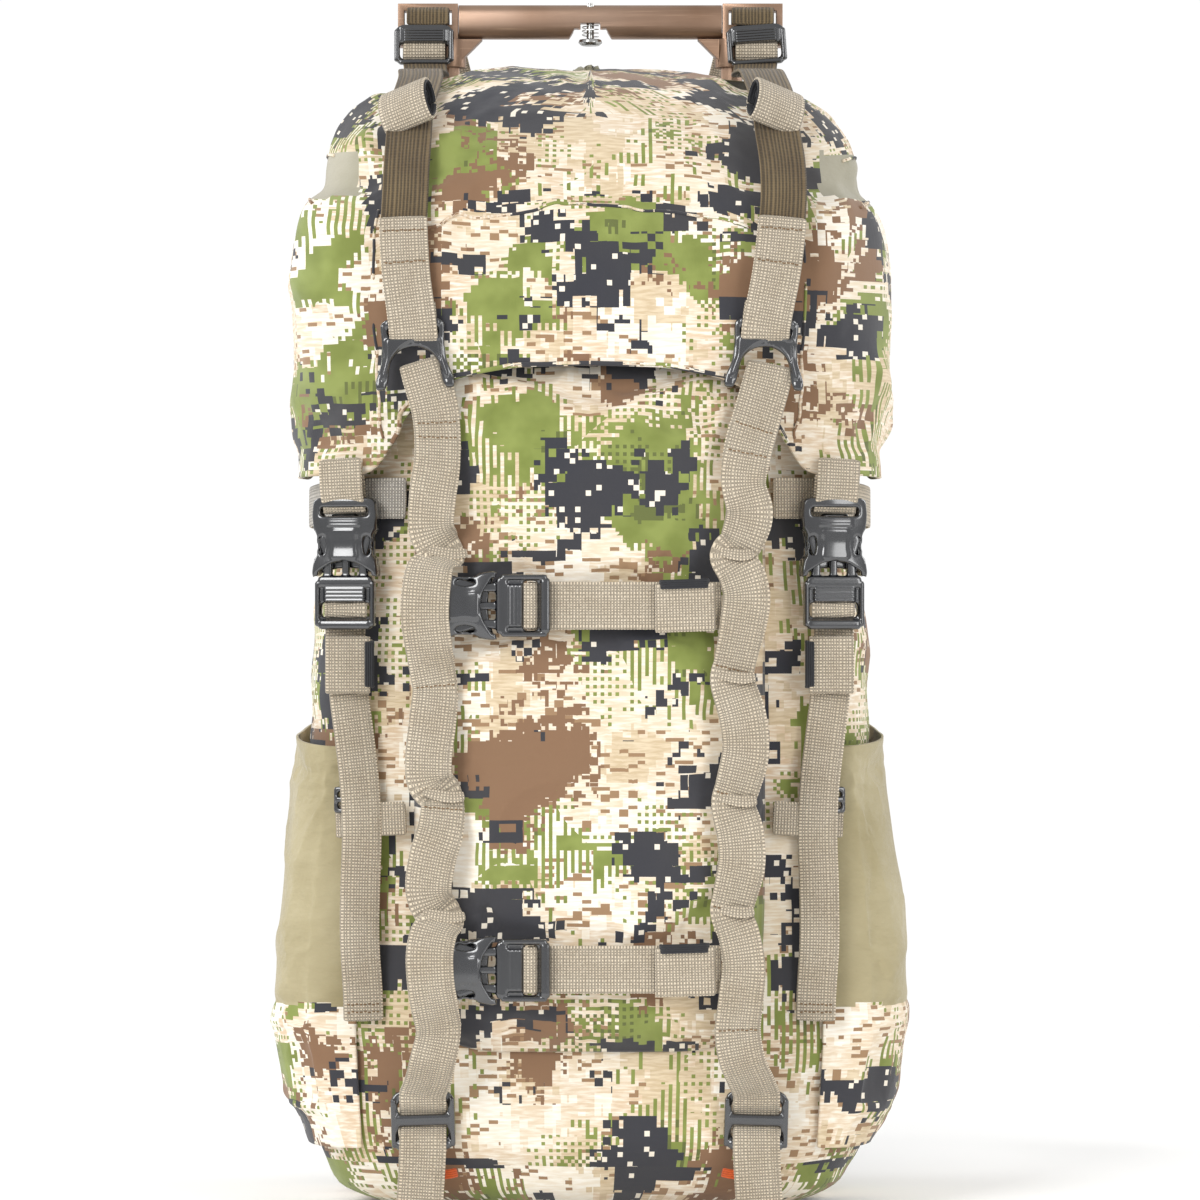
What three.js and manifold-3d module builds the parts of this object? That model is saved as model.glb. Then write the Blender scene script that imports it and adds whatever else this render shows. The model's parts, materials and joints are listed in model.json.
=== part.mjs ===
// A hunting backpack on an external frame whose top bar pops up on two telescoping rods.
// Millimetres. +X is the pack's left-to-right seen from outside, -Y faces away from the wearer, +Z is up.
// The origin is the centre of the base panel's resting face.
import * as THREE from "three";
import { mergeVertices } from "three/addons/utils/BufferGeometryUtils.js";
import Module from "manifold-3d";

const wasm = await Module();
wasm.setup();

// ---------------------------------------------------------------- driving dimensions
const GAP = 0.4; // left between touching pieces
const WEB = 25; // webbing width
const WEB_T = 1.8; // webbing thickness
const BAG_BACK = 85; // plane of the bag's back panel
const WALL = 5; // padded bag wall
const FRAME_Y = 97; // centre plane of the frame tubes
const TUBE_X = 80; // half distance between the frame tubes
const TUBE_R = 7.5;
const BORE_R = 6.3;
const ROD_R = 6;
const TUBE_BOTTOM = 76;
const TUBE_TOP = 560;
const COLLAR_TOP = 575;
const ROD_BOTTOM = 372;
const ROD_TOP = 640;
const BAR_Z = 655; // centre height of the pop-up bar
const BAR_HALF_H = 9;
const BRACKET_X = 92;
const BRACKET_HALF_W = 17;
const LID_AXIS = { y: 66, z: 596 }; // the lid turns about this line, along X
const STRAP_FRONT = -149.6; // the front straps lie on this plane
const DAISY_X = 81;
const SIDE_X = 121;
const SIDE_BUCKLE_X = 129;
const SIDE_BUCKLE_Y = -112.8;
const FRONT_BUCKLE_Z = [324, 134];
const LOWER_LOCK = { y: -117, z: 52 };
const COMPRESSION_Z = 379;
const SEGMENTS = 28; // round the bag

// ---------------------------------------------------------------- colours
const COLOURS = {
  camo: [0xb9ad86, 0.9, 0],
  olive: [0xb3a982, 0.9, 0],
  webbing: [0xa39781, 0.85, 0],
  webbingDark: [0x66583f, 0.85, 0],
  plastic: [0x17181a, 0.4, 0],
  bronze: [0xa17a5f, 0.35, 0.9],
  steel: [0xc8c8c8, 0.25, 1],
  carbon: [0x2a2a2c, 0.35, 0.1],
  foam: [0x4d4b3f, 0.95, 0],
};
const material = {};
for (const [name, [color, roughness, metalness]] of Object.entries(COLOURS))
  material[name] = new THREE.MeshStandardMaterial({ color, roughness, metalness });

const pack = new THREE.Group();

// ---------------------------------------------------------------- solids and booleans
function solid(geometry) {
  const bare = geometry.index ? geometry.toNonIndexed() : geometry.clone();
  bare.deleteAttribute("normal");
  bare.deleteAttribute("uv");
  const merged = mergeVertices(bare, 1e-3);
  return new wasm.Manifold(
    new wasm.Mesh({
      numProp: 3,
      vertProperties: merged.attributes.position.array,
      triVerts: new Uint32Array(merged.index.array),
    }),
  );
}

function geometryOf(made) {
  const mesh = made.getMesh();
  const geometry = new THREE.BufferGeometry();
  geometry.setAttribute("position", new THREE.BufferAttribute(mesh.vertProperties, 3));
  geometry.setIndex(new THREE.BufferAttribute(mesh.triVerts, 1));
  return geometry;
}

// Adds one named piece; a shape is a three.js geometry or a manifold solid.
function add(name, shape, finish, position = [0, 0, 0], rotation = [0, 0, 0]) {
  const geometry = shape.isBufferGeometry ? shape : geometryOf(shape);
  const mesh = new THREE.Mesh(geometry, material[finish]);
  mesh.name = name;
  mesh.position.set(...position);
  mesh.rotation.set(...rotation);
  pack.add(mesh);
  return mesh;
}

function moved(made, x, y, z) {
  return made.translate([x, y, z]);
}

function turned(made, x, y, z) {
  return made.rotate([x, y, z]);
}

function box(low, high) {
  const size = low.map((v, i) => high[i] - v);
  const middle = low.map((v, i) => (high[i] + v) / 2);
  return solid(new THREE.BoxGeometry(...size).translate(...middle));
}

// A closed body through rings that all have the same number of points.
function loft(rings) {
  const n = rings[0].length;
  const points = rings.flat();
  const faces = [];
  for (let k = 0; k + 1 < rings.length; k++)
    for (let i = 0; i < n; i++) {
      const a = k * n + i;
      const b = k * n + ((i + 1) % n);
      faces.push(a, b, b + n, a, b + n, a + n);
    }
  for (const [ring, first, flip] of [[rings[0], 0, true], [rings.at(-1), points.length - n, false]]) {
    const centre = ring.reduce((s, p) => s.add(p), new THREE.Vector3()).divideScalar(n);
    const hub = points.push(centre) - 1;
    for (let i = 0; i < n; i++) {
      const pair = [first + i, first + ((i + 1) % n)];
      faces.push(hub, ...(flip ? pair.reverse() : pair));
    }
  }
  const geometry = new THREE.BufferGeometry().setFromPoints(points);
  geometry.setIndex(faces);
  const made = solid(geometry);
  return made.volume() < 0 ? loft([...rings].reverse()) : made;
}

// A level ring: a rounded rectangle (superellipse) from front to back, half as wide as width.
function level(z, halfWidth, front, back, power = 4, n = SEGMENTS) {
  const ring = [];
  for (let i = 0; i < n; i++) {
    const a = (2 * Math.PI * (i + 0.5)) / n;
    const bend = (v) => Math.sign(v) * Math.abs(v) ** (2 / power);
    const y = (front + back) / 2 + ((back - front) / 2) * bend(Math.sin(a));
    ring.push(new THREE.Vector3(halfWidth * bend(Math.cos(a)), y, z));
  }
  return ring;
}

// An upright ring in a plane of constant Y, from low to high.
function upright(y, halfWidth, low, high, power = 4, n = SEGMENTS) {
  return level(y, halfWidth, low, high, power, n).map((p) => new THREE.Vector3(p.x, p.z, p.y));
}

// Webbing or a padded band: a flat section along points, broad in the across direction.
function band(points, width, thickness, across) {
  const path = points.map((p) => new THREE.Vector3(...p));
  const side = new THREE.Vector3(...across).normalize();
  const rings = path.map((p, i) => {
    const before = path[Math.max(i - 1, 0)];
    const after = path[Math.min(i + 1, path.length - 1)];
    const along = after.clone().sub(before).normalize();
    const up = new THREE.Vector3().crossVectors(along, side).normalize().multiplyScalar(thickness / 2);
    const wide = new THREE.Vector3().crossVectors(up, along).setLength((width[i] ?? width) / 2);
    return [
      p.clone().add(wide).add(up),
      p.clone().sub(wide).add(up),
      p.clone().sub(wide).sub(up),
      p.clone().add(wide).sub(up),
    ];
  });
  return loft(rings);
}

function smooth(points, steps) {
  const curve = new THREE.CatmullRomCurve3(points.map((p) => new THREE.Vector3(...p)));
  return curve.getPoints(steps).map((p) => p.toArray());
}

function outline(points, holes = []) {
  return new wasm.CrossSection([points, ...holes], "EvenOdd");
}

function rectangle(x0, y0, x1, y1) {
  return [[x0, y0], [x1, y0], [x1, y1], [x0, y1]];
}

// A rectangle with its corners cut by c.
function chamfered(halfW, y0, y1, c) {
  return [
    [-halfW + c, y0], [halfW - c, y0], [halfW, y0 + c], [halfW, y1 - c],
    [halfW - c, y1], [-halfW + c, y1], [-halfW, y1 - c], [-halfW, y0 + c],
  ];
}

function plate(shape, depth) {
  return shape.extrude(depth);
}

// A plate drawn in X and Z that stands on plane y and is thick towards -Y.
function standing(shape, y, thickness) {
  return plate(shape, thickness).rotate([90, 0, 0]).translate([0, y, 0]);
}

function tube(outer, inner, low, high, sides = 20) {
  const profile = [[inner, low], [outer, low], [outer, high], [inner, high], [inner, low]];
  return new THREE.LatheGeometry(profile.map(([r, h]) => new THREE.Vector2(r, h)), sides)
    .rotateX(Math.PI / 2);
}

function rod(radius, low, high, sides = 20) {
  return new THREE.CylinderGeometry(radius, radius, high - low, sides)
    .rotateX(Math.PI / 2)
    .translate(0, 0, (low + high) / 2);
}

const SIDES = [["left", -1], ["right", 1]];

// ---------------------------------------------------------------- the bag
// Height, half width and front plane of the bag's outside; the back is flat above the base.
const BAG = [
  [0, 112, -72, 72],
  [10, 138, -100, 80],
  [34, 150, -116, BAG_BACK],
  [90, 154, -118, BAG_BACK],
  [300, 153, -113, BAG_BACK],
  [395, 146, -112, BAG_BACK],
  [480, 141, -108, BAG_BACK],
  [520, 137, -104, BAG_BACK],
  [558, 129, -95, BAG_BACK],
];

// The bag's outside grown by grow, as one closed body.
function bagOutside(grow = 0) {
  return loft(BAG.map(([z, w, f, b]) => level(z, w + grow, f - grow, b + grow)));
}

function mainBag() {
  const inside = BAG.slice(1).map(([z, w, f, b]) => level(z, w - WALL, f + WALL, b - WALL));
  const floor = inside[0].map((p) => new THREE.Vector3(p.x * 0.9, p.y * 0.9, WALL));
  const above = inside.at(-1).map((p) => new THREE.Vector3(p.x, p.y, p.z + 1));
  return bagOutside().subtract(loft([floor, ...inside, above]));
}

function frontPocket() {
  const body = loft([
    upright(-100, 93, 86, 446, 6),
    upright(-134, 93, 86, 446, 6),
    upright(-144, 86, 94, 438, 5),
    upright(-148, 72, 110, 424, 5),
  ]);
  return body.subtract(bagOutside(GAP));
}

function sidePocket(side) {
  // The wall bellies out from the bag's side; its mouth slopes down towards the front.
  const belly = [
    [34, 151.5], [56, 164], [110, 171], [180, 170.5], [262, 167],
  ];
  const outer = loft(belly.map(([z, w]) => level(z, w, -88, 70, 5)));
  const inner = loft(
    belly.slice(1).map(([z, w], i) => level(i === 0 ? 52 : z + i, w - 3, -82, 64, 5)),
  );
  const half = box([side > 0 ? 100 : -200, -200, 0], [side > 0 ? 200 : -100, 200, 400]);
  const mouth = new THREE.BoxGeometry(500, 500, 100);
  mouth.rotateX(0.12).translate(0, 0, 302);
  return outer
    .subtract(inner)
    .intersect(half)
    .subtract(bagOutside(GAP))
    .subtract(solid(mouth));
}

// ---------------------------------------------------------------- the lid
const LID = [
  [392, 158, -126, 84],
  [450, 160, -142, 84],
  [505, 160, -145, 84],
  [532, 156, -139, 84],
  [550, 143, -127, 82],
  [575, 139, -107, 79],
  [597, 124, -74, 76],
  [609, 98, -40, 66],
  [616, 60, -6, 40],
];

function lid() {
  const cavity = [
    [380, 149.5, -120, 130],
    [480, 145, -112, 130],
    [524, 141, -108, 130],
    [564, 132, -99, 130],
  ];
  const slope = outline([[-14, 370], [130, 370], [130, 588], [66, 582], [44, 545], [20, 470]]);
  const behind = plate(slope, 400).rotate([90, 0, 90]).translate([-200, 0, 0]);
  const hem = outline([
    [-112, 380], [-108, 404], [-98, 426], [-72, 444], [0, 451],
    [72, 444], [98, 426], [108, 404], [112, 380],
  ]);
  return loft(LID.map(([z, w, f, b]) => level(z, w, f, b)))
    .subtract(loft(cavity.map(([z, w, f, b]) => level(z, w, f, b))))
    .subtract(behind)
    .subtract(standing(hem, -90, 110));
}

// ---------------------------------------------------------------- the frame
function topBar() {
  // A rounded bar, hollow from behind, with a notch under its middle for the knob.
  const half = BRACKET_X - BRACKET_HALF_W - GAP;
  const low = BAR_Z - BAR_HALF_H;
  const high = BAR_Z + BAR_HALF_H;
  const section = level(0, BAR_HALF_H + 0.6, -8, 8, 3, 20).map((p) => [p.y, p.x]);
  const bar = plate(outline(section), 2 * half)
    .rotate([90, 0, 90])
    .translate([-half, FRAME_Y, BAR_Z]);
  const notch = outline([[-13, low - 2], [13, low - 2], [9, low + 5], [-9, low + 5]]);
  const channel = box([-half - 1, FRAME_Y + 2, low + 4], [half + 1, FRAME_Y + 9, high - 4]);
  const seat = solid(rod(7.5, low + 4, low + 8));
  const bore = solid(rod(2.6, low, high + 5));
  return bar
    .subtract(standing(notch, FRAME_Y + 20, 40))
    .subtract(channel)
    .subtract(moved(bore, 0, FRAME_Y - 3, 0))
    .subtract(moved(seat, 0, FRAME_Y - 3, 0));
}

function bracket(side) {
  const low = BAR_Z - 14;
  const high = BAR_Z + 10;
  const frame = outline(
    [[-BRACKET_HALF_W, low], [BRACKET_HALF_W, low], [BRACKET_HALF_W, high], [-BRACKET_HALF_W, high]],
    [rectangle(-13.5, low + 12, 13.5, high - 4)],
  );
  const inner = -side * BRACKET_HALF_W;
  const gusset = outline([[inner, low - 10], [inner, low + 4], [inner - side * 14, low + 4]]);
  const body = moved(standing(frame, FRAME_Y + 7, 14), side * BRACKET_X, 0, 0)
    .add(moved(standing(gusset, FRAME_Y + 6, 12), side * (BRACKET_X - 0.2 * side), 0, 0))
    .add(moved(solid(rod(9.4, low - 12, low + 4)), side * TUBE_X, FRAME_Y, 0));
  const socket = solid(rod(BORE_R, low - 20, ROD_TOP + GAP));
  return body.subtract(moved(socket, side * TUBE_X, FRAME_Y, 0));
}

function plunger() {
  // Mushroom knob, shaft and a small cross head above the bar, turned about Z.
  const low = BAR_Z - BAR_HALF_H;
  const high = BAR_Z + BAR_HALF_H;
  const profile = [
    [0, low - 5], [5, low - 4.6], [6.8, low - 3], [6.2, low - 1.2], [2.1, low - 0.6],
    [2.1, high + 1.5], [0, high + 1.5],
  ];
  return new THREE.LatheGeometry(profile.map(([r, h]) => new THREE.Vector2(r, h)), 20)
    .rotateX(Math.PI / 2);
}

function spring() {
  const low = BAR_Z - BAR_HALF_H + 0.6;
  class Coil extends THREE.Curve {
    getPoint(t, target = new THREE.Vector3()) {
      const a = t * 3 * 2 * Math.PI;
      return target.set(4.6 * Math.cos(a), 4.6 * Math.sin(a), low + 6.2 * t);
    }
  }
  const wire = new THREE.Shape().absarc(0, 0, 0.3, 0, 2 * Math.PI);
  return new THREE.ExtrudeGeometry(wire, {
    steps: 36, bevelEnabled: false, extrudePath: new Coil(), curveSegments: 2,
  });
}

function buildFrame() {
  for (const [name, side] of SIDES) {
    const at = [side * TUBE_X, FRAME_Y, 0];
    add(`frame_tube_${name}`, tube(TUBE_R, BORE_R, TUBE_BOTTOM, TUBE_TOP), "carbon", at);
    add(`tube_collar_${name}`, tube(10, BORE_R, TUBE_TOP + GAP, COLLAR_TOP), "plastic", at);
    add(`pop_up_rod_${name}`, rod(ROD_R, ROD_BOTTOM, ROD_TOP), "bronze", at);
    add(`crossbar_bracket_${name}`, bracket(side), "bronze");
  }
  add("top_crossbar", topBar(), "bronze");
  add("release_plunger", plunger(), "steel", [0, FRAME_Y - 3, 0]);
  add("release_spring", spring(), "steel", [0, FRAME_Y - 3, 0]);
  const foot = outline(chamfered(96, 54, TUBE_BOTTOM - GAP, 5));
  add("frame_lower_bar", standing(foot, FRAME_Y + 8, 16), "plastic");
  const half = TUBE_X - TUBE_R - GAP;
  const yoke = outline([
    [-half, 486], [-half + 20, 496], [half - 20, 496], [half, 486], [half, 546],
    [half - 20, 532], [-half + 20, 532], [-half, 546],
  ]);
  add("frame_mid_bar", standing(yoke, FRAME_Y + 5, 10), "plastic");
  add("framesheet", standing(outline(chamfered(112, 28, 552, 24)), BAG_BACK + 2.8, 2), "plastic");
}

// ---------------------------------------------------------------- webbing hardware
const LOCK_T = 4; // ladder lock thickness

// A ladder lock, seen from the front, centred on the origin; the webbing passes its two slots.
function ladderLock() {
  const slots = [rectangle(-13.4, -10, 13.4, -2), rectangle(-13.4, 3, 13.4, 11)];
  return plate(outline(chamfered(17, -16, 16, 4), slots), LOCK_T);
}

// Points that thread webbing through a lock standing at x, y, z, from its top to its foot.
function threaded(x, y, z) {
  const clear = WEB_T / 2 + GAP;
  const front = LOCK_T + clear;
  const steps = [[front + 1.2, 19], [front, 10], [-clear, 4], [-clear, -3], [front, -9], [front, -16]];
  return steps.map(([out, up]) => [x, y - out, z + up]);
}

// The male half: a ladder frame below and two spring arms with a centre guide above.
function maleBuckle() {
  const shape = outline(
    [
      [-13, -29], [13, -29], [16, -26], [16, -2], [12, 0],
      [11.5, 16], [13.5, 19], [13.5, 24], [9, 25], [7.5, 19], [7.5, 2],
      [2, 2], [2, 18], [-2, 18], [-2, 2], [-7.5, 2], [-7.5, 19],
      [-9, 25], [-13.5, 24], [-13.5, 19], [-11.5, 16], [-12, 0], [-16, -2], [-16, -26],
    ],
    [rectangle(-13, -26, 13, -19), rectangle(-13, -14, 13, -7)],
  );
  return plate(shape, 4).translate([0, 0, -2]);
}

// The female half: a saddle with a waist that shows the arms, a webbing slot at its far end.
// It is open at its mouth and, where openBack is set, behind, so that it can lift off forwards.
function femaleBuckle(openBack) {
  const side = [[17, 1.2], [17.5, 10], [15, 15], [15.5, 24], [18, 33], [17, 43]];
  const shape = outline(
    [...side, ...side.map(([x, y]) => [-x, y]).reverse()],
    [rectangle(-13.2, 33, 13.2, 38)],
  );
  const body = plate(shape, 11).translate([0, 0, -5.5]);
  const cavity = box([-14.4, -1, openBack ? -9 : -2.8], [14.4, 28, 2.8]);
  return body.subtract(cavity);
}

// Stands a buckle half drawn in X and Y up, facing -Y, then turns it in its own plane.
function buckleMesh(name, made, finish, position, turn) {
  const facing = turned(turned(made, 90, 0, 0), 0, turn, 0);
  return add(name, moved(facing, ...position), finish);
}

// A hook that the lid strap pulls down onto the lash strap's top loop.
function strapHook() {
  const half = [[17, 14], [17, 4], [18, -8], [20.5, -13], [18, -16], [13.5, -14], [12, -4], [9, 2], [4, 5]];
  const shape = outline(
    [...half, ...half.map(([x, y]) => [-x, y]).reverse()],
    [rectangle(-13, 8, 13, 11)],
  );
  return plate(shape, 4).translate([0, 0, -2]);
}

// ---------------------------------------------------------------- straps over the front and the lid
function buildLidStraps() {
  for (const [name, side] of SIDES) {
    const overLid = [
      [91, 60, 621], [94, 22, 619], [97, -22, 615], [100, -56, 608], [101, -84, 595],
      [101, -110, 577], [100, -130, 553], [98, -143, 529], [95, -148.5, 500], [92, -148.5, 468],
    ].map(([x, y, z]) => [side * x, y, z]);
    add(`top_strap_${name}`, band(overLid, WEB, WEB_T, [1, 0, 0]), "webbingDark");
    const riser = [[91.5, 62.6, 621.4], [92, 75, 627], [93, 81.5, 638]].map(([x, y, z]) => [side * x, y, z]);
    add(`strap_riser_${name}`, band(riser, WEB, WEB_T, [1, 0, 0]), "webbingDark");
    const lock = turned(ladderLock(), 90, 0, 0);
    add(`top_ladder_lock_${name}`, lock, "plastic", [side * 94, 87.2, 643]);
    buckleMesh(`strap_hook_${name}`, strapHook(), "plastic", [side * 92, -145, 453], 0);
  }
}

// The slider of the lid pocket's zip, which runs along X near the lid's back edge.
function zipSlider() {
  const tab = outline(rectangle(4, -3, 27, 3), [rectangle(20, -1.5, 24, 1.5)]);
  return box([-5, -4, 0], [5, 4, 4]).add(plate(tab, 1.6).translate([0, 0, 2]));
}

function buildFrontStraps() {
  for (const [name, side] of SIDES) {
    const x = side * DAISY_X;
    const lash = [
      [side * 92, -145, 434], [side * 86, -149, 414], [x, STRAP_FRONT, 390], [x, STRAP_FRONT, 106],
      [side * 84, -141, 88], ...threaded(side * 88, LOWER_LOCK.y, LOWER_LOCK.z),
      [side * 89, -124, 20], [side * 90, -123, 5],
    ];
    add(`daisy_chain_${name}`, band(lash, WEB, WEB_T, [1, 0, 0]), "webbing");
    const lock = turned(ladderLock(), 90, 0, 0);
    add(`lower_ladder_lock_${name}`, lock, "plastic", [side * 88, LOWER_LOCK.y, LOWER_LOCK.z]);
  }
  ["upper", "lower"].forEach((name, i) => {
    const z = FRONT_BUCKLE_Z[i];
    const y = STRAP_FRONT - 3;
    const strap = band([[-34, y, z], [DAISY_X - 14, y, z]], WEB, WEB_T, [0, 0, 1]);
    add(`front_strap_${name}`, strap, "webbing");
    buckleMesh(`front_buckle_male_${name}`, maleBuckle(), "plastic", [-47, y - 4.5, z], -90);
    buckleMesh(`front_buckle_female_${name}`, femaleBuckle(false), "plastic", [-47, y - 4.5, z], -90);
  });
}

function buildSideStraps() {
  for (const [name, side] of SIDES) {
    const x = side * SIDE_BUCKLE_X;
    const y = SIDE_BUCKLE_Y;
    const web = [[130, y + 3.5, 330], [128, y + 3.5, 268], [SIDE_X, -111, 222], [SIDE_X, -114, 105]]
      .map(([px, py, pz]) => [side * px, py, pz]);
    add(`side_strap_${name}`, band(web, 21, WEB_T, [1, 0, 0]), "webbing");
    buckleMesh(`side_buckle_male_${name}`, maleBuckle(), "plastic", [x, y, 338], 0);
    buckleMesh(`side_buckle_female_${name}`, femaleBuckle(true), "plastic", [x, y, 338], 0);
    const round = level(COMPRESSION_Z, 150.5, -114.6, 88, 4, 72)
      .filter((p) => p.x > 97 && p.y < 55)
      .sort((a, b) => a.y - b.y)
      .map((p) => [side * p.x, p.y, p.z]);
    add(`compression_strap_${name}`, band(round, 22, WEB_T, [0, 0, 1]), "webbing");
  }
}

// ---------------------------------------------------------------- the harness
// A padded slab drawn in X and Z that stands out from the frame towards the wearer.
function pad(halfWidth, low, high, thickness) {
  const back = FRAME_Y + TUBE_R + 1;
  return loft([
    upright(back, halfWidth, low, high, 5, 20),
    upright(back + thickness * 0.7, halfWidth, low, high, 5, 20),
    upright(back + thickness, halfWidth - 8, low + 8, high - 8, 5, 20),
  ]);
}

function buildHarness() {
  add("yoke_pad", pad(60, 478, 562, 13), "foam");
  add("back_pad", pad(72, 214, 470, 18), "foam");
  add("lumbar_pad", pad(96, 78, 206, 32), "foam");
  for (const [name, side] of SIDES) {
    const mirror = ([x, y, z]) => [side * x, y, z];
    const shoulder = smooth([
      [38, 127, 520], [44, 150, 556], [54, 184, 562], [66, 214, 524],
      [78, 222, 440], [86, 206, 345], [90, 180, 268], [91, 160, 226],
    ].map(mirror), 14);
    add(`shoulder_strap_${name}`, band(shoulder, 60, 13, [1, 0, 0]), "foam");
    const lifter = [[82, 112, 642], [74, 138, 614], [62, 178, 576]].map(mirror);
    add(`load_lifter_${name}`, band(lifter, 20, WEB_T, [1, 0, 0]), "webbing");
    const wing = smooth([
      [100, 124, 138], [128, 136, 138], [152, 166, 136], [162, 210, 134], [156, 262, 133], [136, 304, 132],
    ].map(mirror), 12);
    const tall = wing.map((_, i) => 108 - 3.4 * i);
    add(`hip_belt_${name}`, band(wing, tall, 13, [0, 0, 1]), "foam");
    const y = 316;
    const belt = [[133, 311, 132], [112, y + 8, 132], [52, y + 14, 132]].map(mirror);
    add(`belt_webbing_${name}`, band(belt, WEB, WEB_T, [0, 0, 1]), "webbing");
  }
  buckleMesh("hip_buckle_male", maleBuckle(), "plastic", [-44, 333.6, 132], 90);
  buckleMesh("hip_buckle_female", femaleBuckle(false), "plastic", [17, 337.1, 132], 90);
  const chest = [[-62, 230.4, 436], [-20, 233, 436], [20, 233, 436], [62, 230.4, 436]];
  add("sternum_strap", band(chest, 18, WEB_T, [0, 0, 1]), "webbing");
}

// ---------------------------------------------------------------- assembly
add("main_bag", mainBag(), "camo");
add("front_pocket", frontPocket(), "camo");
add("lid", lid(), "camo");
for (const [name, side] of SIDES) add(`side_pocket_${name}`, sidePocket(side), "olive");
buildFrame();
buildLidStraps();
add("lid_zip_slider", zipSlider(), "steel", [-40, 46, 615.9]);
buildFrontStraps();
buildSideStraps();
buildHarness();

export default pack;
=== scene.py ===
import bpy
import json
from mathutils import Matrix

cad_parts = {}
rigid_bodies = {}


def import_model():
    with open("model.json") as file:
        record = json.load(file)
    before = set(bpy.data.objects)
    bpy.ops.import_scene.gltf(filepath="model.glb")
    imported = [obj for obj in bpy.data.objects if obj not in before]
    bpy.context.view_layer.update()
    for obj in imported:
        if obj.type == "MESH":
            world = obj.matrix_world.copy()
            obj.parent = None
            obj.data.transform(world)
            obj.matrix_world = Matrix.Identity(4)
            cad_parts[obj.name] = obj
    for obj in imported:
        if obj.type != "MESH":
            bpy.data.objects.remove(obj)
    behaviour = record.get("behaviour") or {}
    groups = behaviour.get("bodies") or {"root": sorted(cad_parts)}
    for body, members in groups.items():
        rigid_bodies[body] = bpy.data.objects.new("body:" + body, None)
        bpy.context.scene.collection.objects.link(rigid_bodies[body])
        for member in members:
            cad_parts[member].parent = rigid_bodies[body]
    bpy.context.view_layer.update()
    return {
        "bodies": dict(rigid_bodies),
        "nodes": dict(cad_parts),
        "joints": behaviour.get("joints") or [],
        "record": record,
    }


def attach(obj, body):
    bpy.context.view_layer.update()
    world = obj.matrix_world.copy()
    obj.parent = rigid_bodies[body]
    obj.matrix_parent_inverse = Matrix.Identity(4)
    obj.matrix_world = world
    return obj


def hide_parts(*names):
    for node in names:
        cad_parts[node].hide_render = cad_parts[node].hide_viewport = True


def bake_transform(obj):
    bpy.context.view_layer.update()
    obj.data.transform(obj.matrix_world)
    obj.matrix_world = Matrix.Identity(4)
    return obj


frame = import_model()

import json
import math

import bmesh
import bpy
import numpy as np
from mathutils import Matrix, Vector

MM = 0.001
SIDES = (("left", -1), ("right", 1))

# the photograph's viewpoint, in metres
CAMERA_AT = (0.0055, -3.0, 0.327)
LENS, SENSOR = 163.6, 36


# ------------------------------------------------------------------ camera
def place_camera():
    """Level, three metres in front of the pack's middle, as the photograph was taken."""
    data = bpy.data.cameras.new("camera")
    data.lens = LENS
    data.sensor_width = SENSOR
    data.clip_end = 50
    obj = bpy.data.objects.new("camera", data)
    obj.location = CAMERA_AT
    obj.rotation_euler = (math.pi / 2, 0, 0)
    bpy.context.scene.collection.objects.link(obj)
    bpy.context.scene.camera = obj


place_camera()


# ------------------------------------------------------------------ mesh helpers
def link(obj):
    bpy.context.scene.collection.objects.link(obj)
    return obj


def make_mesh(name, verts, faces, fab=None, smooth=True):
    """A mesh object from points in millimetres. fab holds each point's place on its cloth, in metres."""
    mesh = bpy.data.meshes.new(name)
    mesh.from_pydata([tuple(v) for v in np.asarray(verts, float) * MM], [], [tuple(f) for f in faces])
    mesh.update()
    if fab is not None:
        layer = mesh.attributes.new("fab", "FLOAT_VECTOR", "POINT")
        layer.data.foreach_set("vector", np.asarray(fab, np.float32).ravel())
    if smooth:
        mesh.polygons.foreach_set("use_smooth", [True] * len(mesh.polygons))
    return link(bpy.data.objects.new(name, mesh))


def points_of(obj):
    co = np.zeros(len(obj.data.vertices) * 3)
    obj.data.vertices.foreach_get("co", co)
    return co.reshape(-1, 3)


def set_points(obj, co):
    obj.data.vertices.foreach_set("co", np.asarray(co, float).ravel())
    obj.data.update()


def normals_of(obj):
    out = np.zeros(len(obj.data.vertices) * 3)
    obj.data.vertices.foreach_get("normal", out)
    return out.reshape(-1, 3)


def settle(obj):
    """Turns what the modifiers make into the object's own mesh."""
    bpy.context.view_layer.update()
    graph = bpy.context.evaluated_depsgraph_get()
    mesh = bpy.data.meshes.new_from_object(obj.evaluated_get(graph))
    obj.modifiers.clear()
    obj.data = mesh
    return obj


def modify(obj, kind, **values):
    modifier = obj.modifiers.new(kind.lower(), kind)
    for key, value in values.items():
        setattr(modifier, key, value)
    return modifier


def subdivide(obj):
    modify(obj, "SUBSURF", levels=1, render_levels=1)
    return settle(obj)


def thicken(obj, thickness):
    modify(obj, "SOLIDIFY", thickness=thickness * MM, offset=-1, use_even_offset=False)
    return settle(obj)


def remesh(obj, voxel):
    modify(obj, "REMESH", mode="VOXEL", voxel_size=voxel * MM, use_smooth_shade=True)
    modify(obj, "SMOOTH", iterations=2, factor=0.5)
    return settle(obj)


def join(objs, name):
    """One object out of several."""
    bm = bmesh.new()
    for obj in objs:
        copy = obj.data.copy()
        copy.transform(obj.matrix_world)
        bm.from_mesh(copy)
        bpy.data.meshes.remove(copy)
        bpy.data.objects.remove(obj)
    mesh = bpy.data.meshes.new(name)
    bm.to_mesh(mesh)
    bm.free()
    mesh.polygons.foreach_set("use_smooth", [True] * len(mesh.polygons))
    return link(bpy.data.objects.new(name, mesh))


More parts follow.
